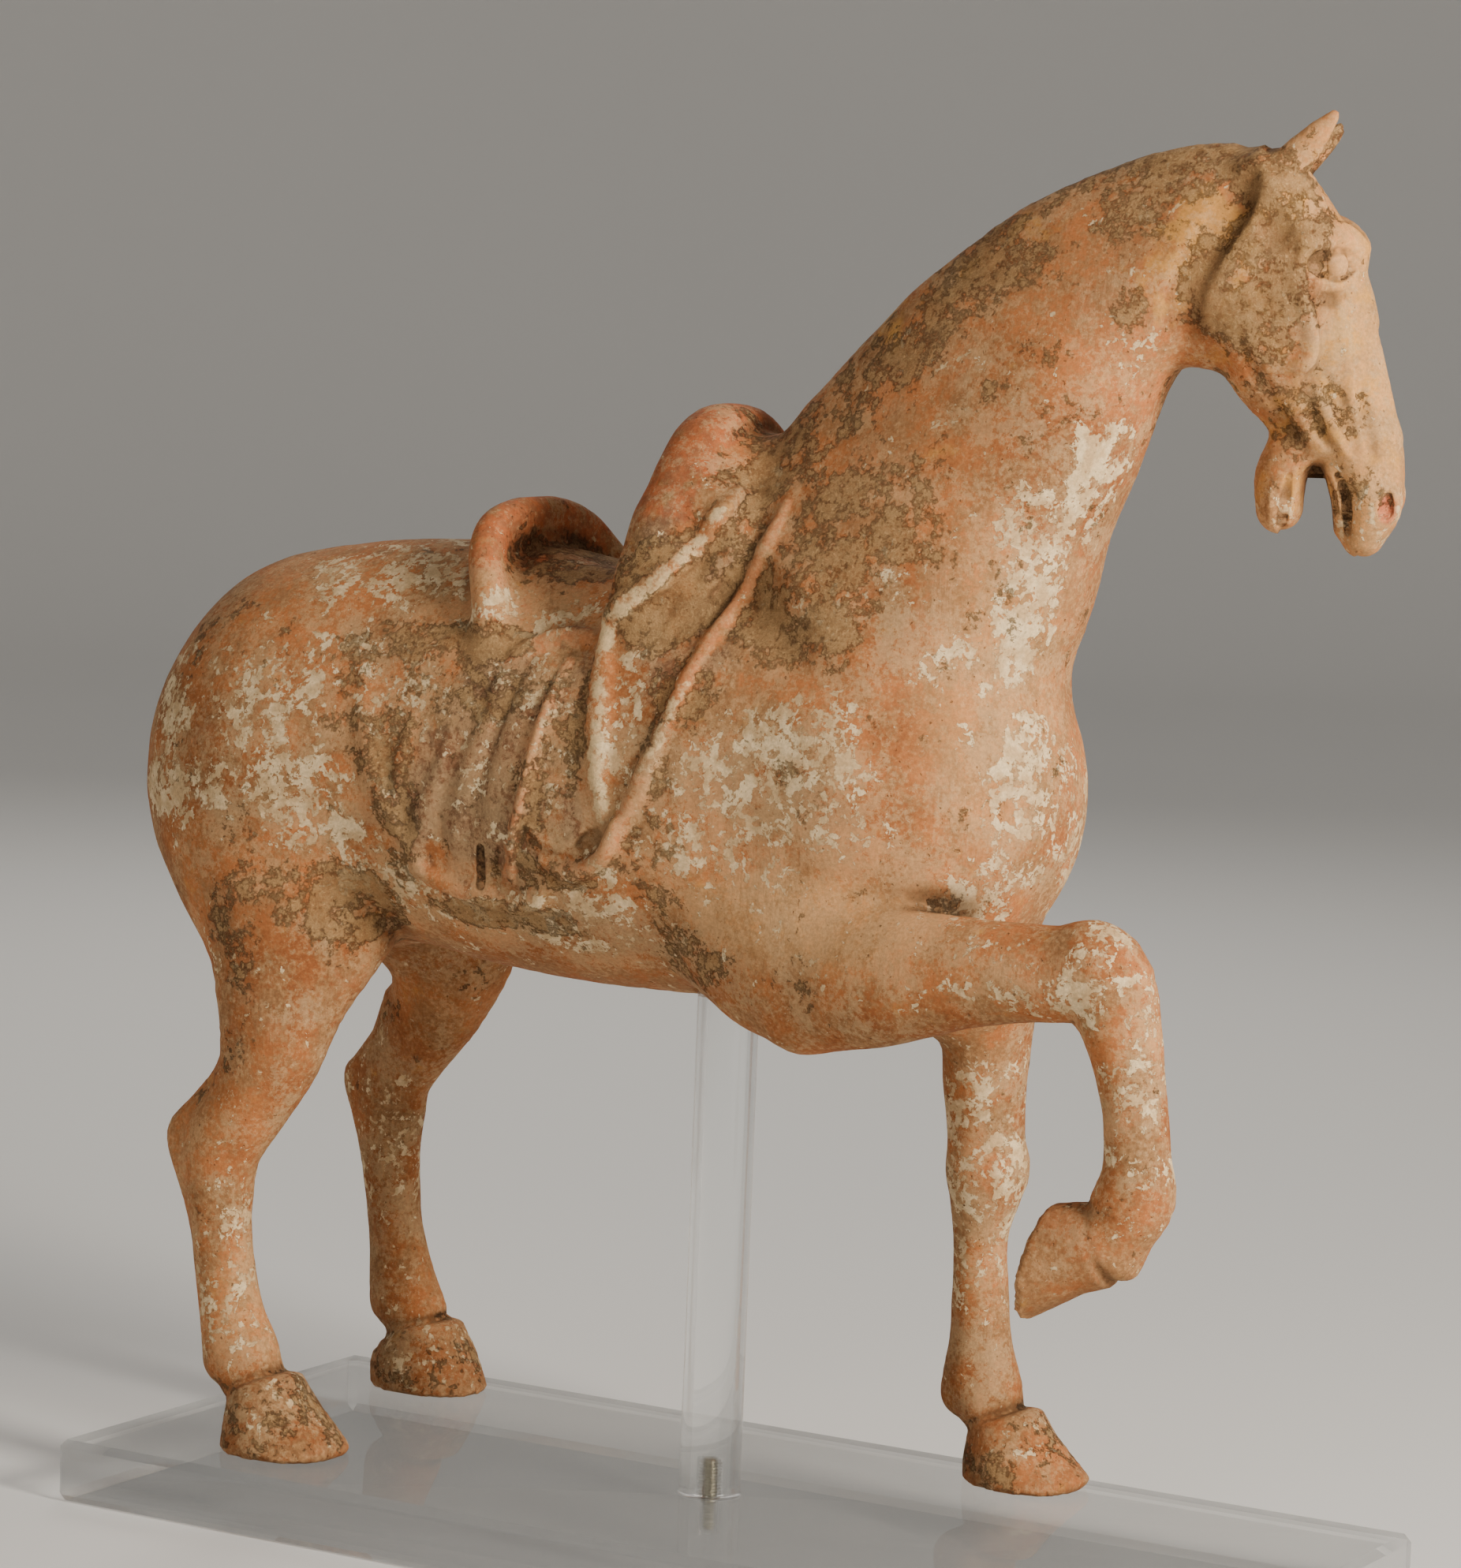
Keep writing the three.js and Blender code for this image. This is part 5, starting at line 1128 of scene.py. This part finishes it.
def clear_rod(material):
    """The rod as a smooth turned piece with eased rims and the blind hole for the stud."""
    low, top = STANDING, ROD_TOP
    hub = 0.4                  # radius of the small flat in the middle of each end
    hole, hole_top = STUD_RADIUS + CLEARANCE, STANDING + STUD_IN_ROD + CLEARANCE
    ease = [(ROD_EDGE * (1 - math.sin(a)), ROD_EDGE * (1 - math.cos(a)))
            for a in np.linspace(0, math.pi / 2, 5)]
    profile = [(hub, hole_top), (hole, hole_top), (hole, low)]
    profile += [(ROD_RADIUS - inset, low + rise) for rise, inset in ease]
    profile += [(ROD_RADIUS - inset, top - rise) for rise, inset in reversed(ease)]
    profile.append((hub, top))
    rings, sides = len(profile), 128
    rod = mesh_object("clear_rod", turned(profile, sides, ROD_AT, MM),
                      ring_faces(rings, sides) + end_faces(rings, sides), material)
    for edge in rod.data.edges:
        a, b = (rod.data.vertices[v].co for v in edge.vertices)
        level = abs(a.z - b.z) < 1e-6
        edge.use_edge_sharp = level and min(abs(a.z / MM - z) for z in (hole_top, low, top)) < 1e-3
    return rod


def threaded_stud(material):
    """The stud with its real, helical thread and coned ends."""
    depth = 0.54 * STUD_PITCH  # of a common thread
    core = STUD_RADIUS - depth
    low, high = PLATE_THICKNESS - STUD_IN_PLATE, STANDING + STUD_IN_ROD
    sides, steps = 40, 10      # points round the stud, and levels to each turn of the thread
    levels = np.arange(0, (high - low) / STUD_PITCH * steps + 1) * STUD_PITCH / steps
    verts = []
    for level in levels:
        cone = 0.8 * core + 0.9 * min(level, levels[-1] - level)
        for turn in np.arange(sides) / sides:
            phase = (level / STUD_PITCH - turn) % 1
            tooth = min(1, max(0, 1.15 * (1 - abs(2 * phase - 1)) - 0.05))
            r = min(core + depth * tooth, cone)
            a = turn * 2 * math.pi
            verts.append(((ROD_AT[0] + r * math.cos(a)) * MM, (ROD_AT[1] + r * math.sin(a)) * MM,
                          (low + level) * MM))
    faces = ring_faces(len(levels), sides) + end_faces(len(levels), sides)
    return mesh_object("steel_stud", verts, faces, material)


clay_material = clay_shader()
acrylic = acrylic_shader()
steel = steel_shader()
horse.data.materials.clear()
horse.data.materials.append(clay_material)
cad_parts["base_plate"].data.materials.clear()
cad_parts["base_plate"].data.materials.append(acrylic)
rod = clear_rod(acrylic)
stud = threaded_stud(steel)
for piece, node, slot in ((horse, "horse", "fired_clay"), (rod, "support_rod", "clear_acrylic"),
                          (stud, "threaded_stud", "steel")):
    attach(piece, "root")
    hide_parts(node)


# Floor, light and camera
def add_floor():
    """A round pale floor that curves up into a wall far behind the object, whichever way it is seen."""
    flat, bend, top, sides = 4.5, 1.5, 4.5, 96
    profile = [(r, 0) for r in (1, 2, 3, 4, flat)]
    profile += [(flat + bend * math.sin(a), bend * (1 - math.cos(a)))
                for a in np.linspace(0.1, math.pi / 2, 15)]
    profile.append((flat + bend, top))
    faces = [tuple(range(sides))] + [face[::-1] for face in ring_faces(len(profile), sides)]
    m = Shader("floor")
    m.set("Base Color", m.mix(m.noise(900, 2, 0.5), (0.79, 0.775, 0.75, 1), (0.82, 0.805, 0.78, 1)))
    m.set("Roughness", 0.9)
    mesh_object("floor", turned(profile, sides), faces, m.material)


def add_light(name, place, target, size, power, tint):
    data = bpy.data.lights.new(name, "AREA")
    data.shape = "DISK"
    data.size = size
    data.energy = power
    data.color = tint
    light = bpy.data.objects.new(name, data)
    light.location = place
    light.rotation_euler = (Vector(target) - Vector(place)).to_track_quat("-Z", "Y").to_euler()
    bpy.context.scene.collection.objects.link(light)


# The camera that took the photograph, as fitted to its plate, rod and hoofs
CAMERA_AT = (0.9452, -1.6555, 0.4925)
CAMERA_AXES = ((0.86376464, 0.50241894, 0.03854675),     # right
               (-0.08270828, 0.06590097, 0.99439248),    # up
               (0.49706135, -0.8621092, 0.09847714))     # back
SENSOR = 36
PHOTO_HEIGHT = 1988            # of the photograph, in pixels, as is the focal length
FOCAL_LENGTH = 6225.86


def add_camera():
    data = bpy.data.cameras.new("camera")
    data.sensor_width = SENSOR
    data.lens = SENSOR * FOCAL_LENGTH / PHOTO_HEIGHT
    data.clip_start = 0.05
    data.clip_end = 50
    camera = bpy.data.objects.new("camera", data)
    camera.matrix_world = Matrix.Translation(CAMERA_AT) @ Matrix(CAMERA_AXES).transposed().to_4x4()
    bpy.context.scene.collection.objects.link(camera)
    bpy.context.scene.camera = camera


add_floor()
add_camera()
add_light("key", (1.6, -0.42, 0.95), (0.08, 0, 0.32), 0.5, 46, (1.0, 0.93, 0.83))
add_light("fill", (-0.3, -2.6, 1.0), (0, 0, 0.25), 1.4, 9, (1.0, 0.97, 0.94))
add_light("back", (-1.2, 1.6, 1.6), (0, 0, 0.35), 1.0, 12, (1.0, 0.97, 0.92))
world = bpy.data.worlds.new("studio")
world.use_nodes = True
sky = world.node_tree.nodes["Background"]
sky.inputs["Color"].default_value = (0.95, 0.94, 0.92, 1)
sky.inputs["Strength"].default_value = 0.3
bpy.context.scene.world = world
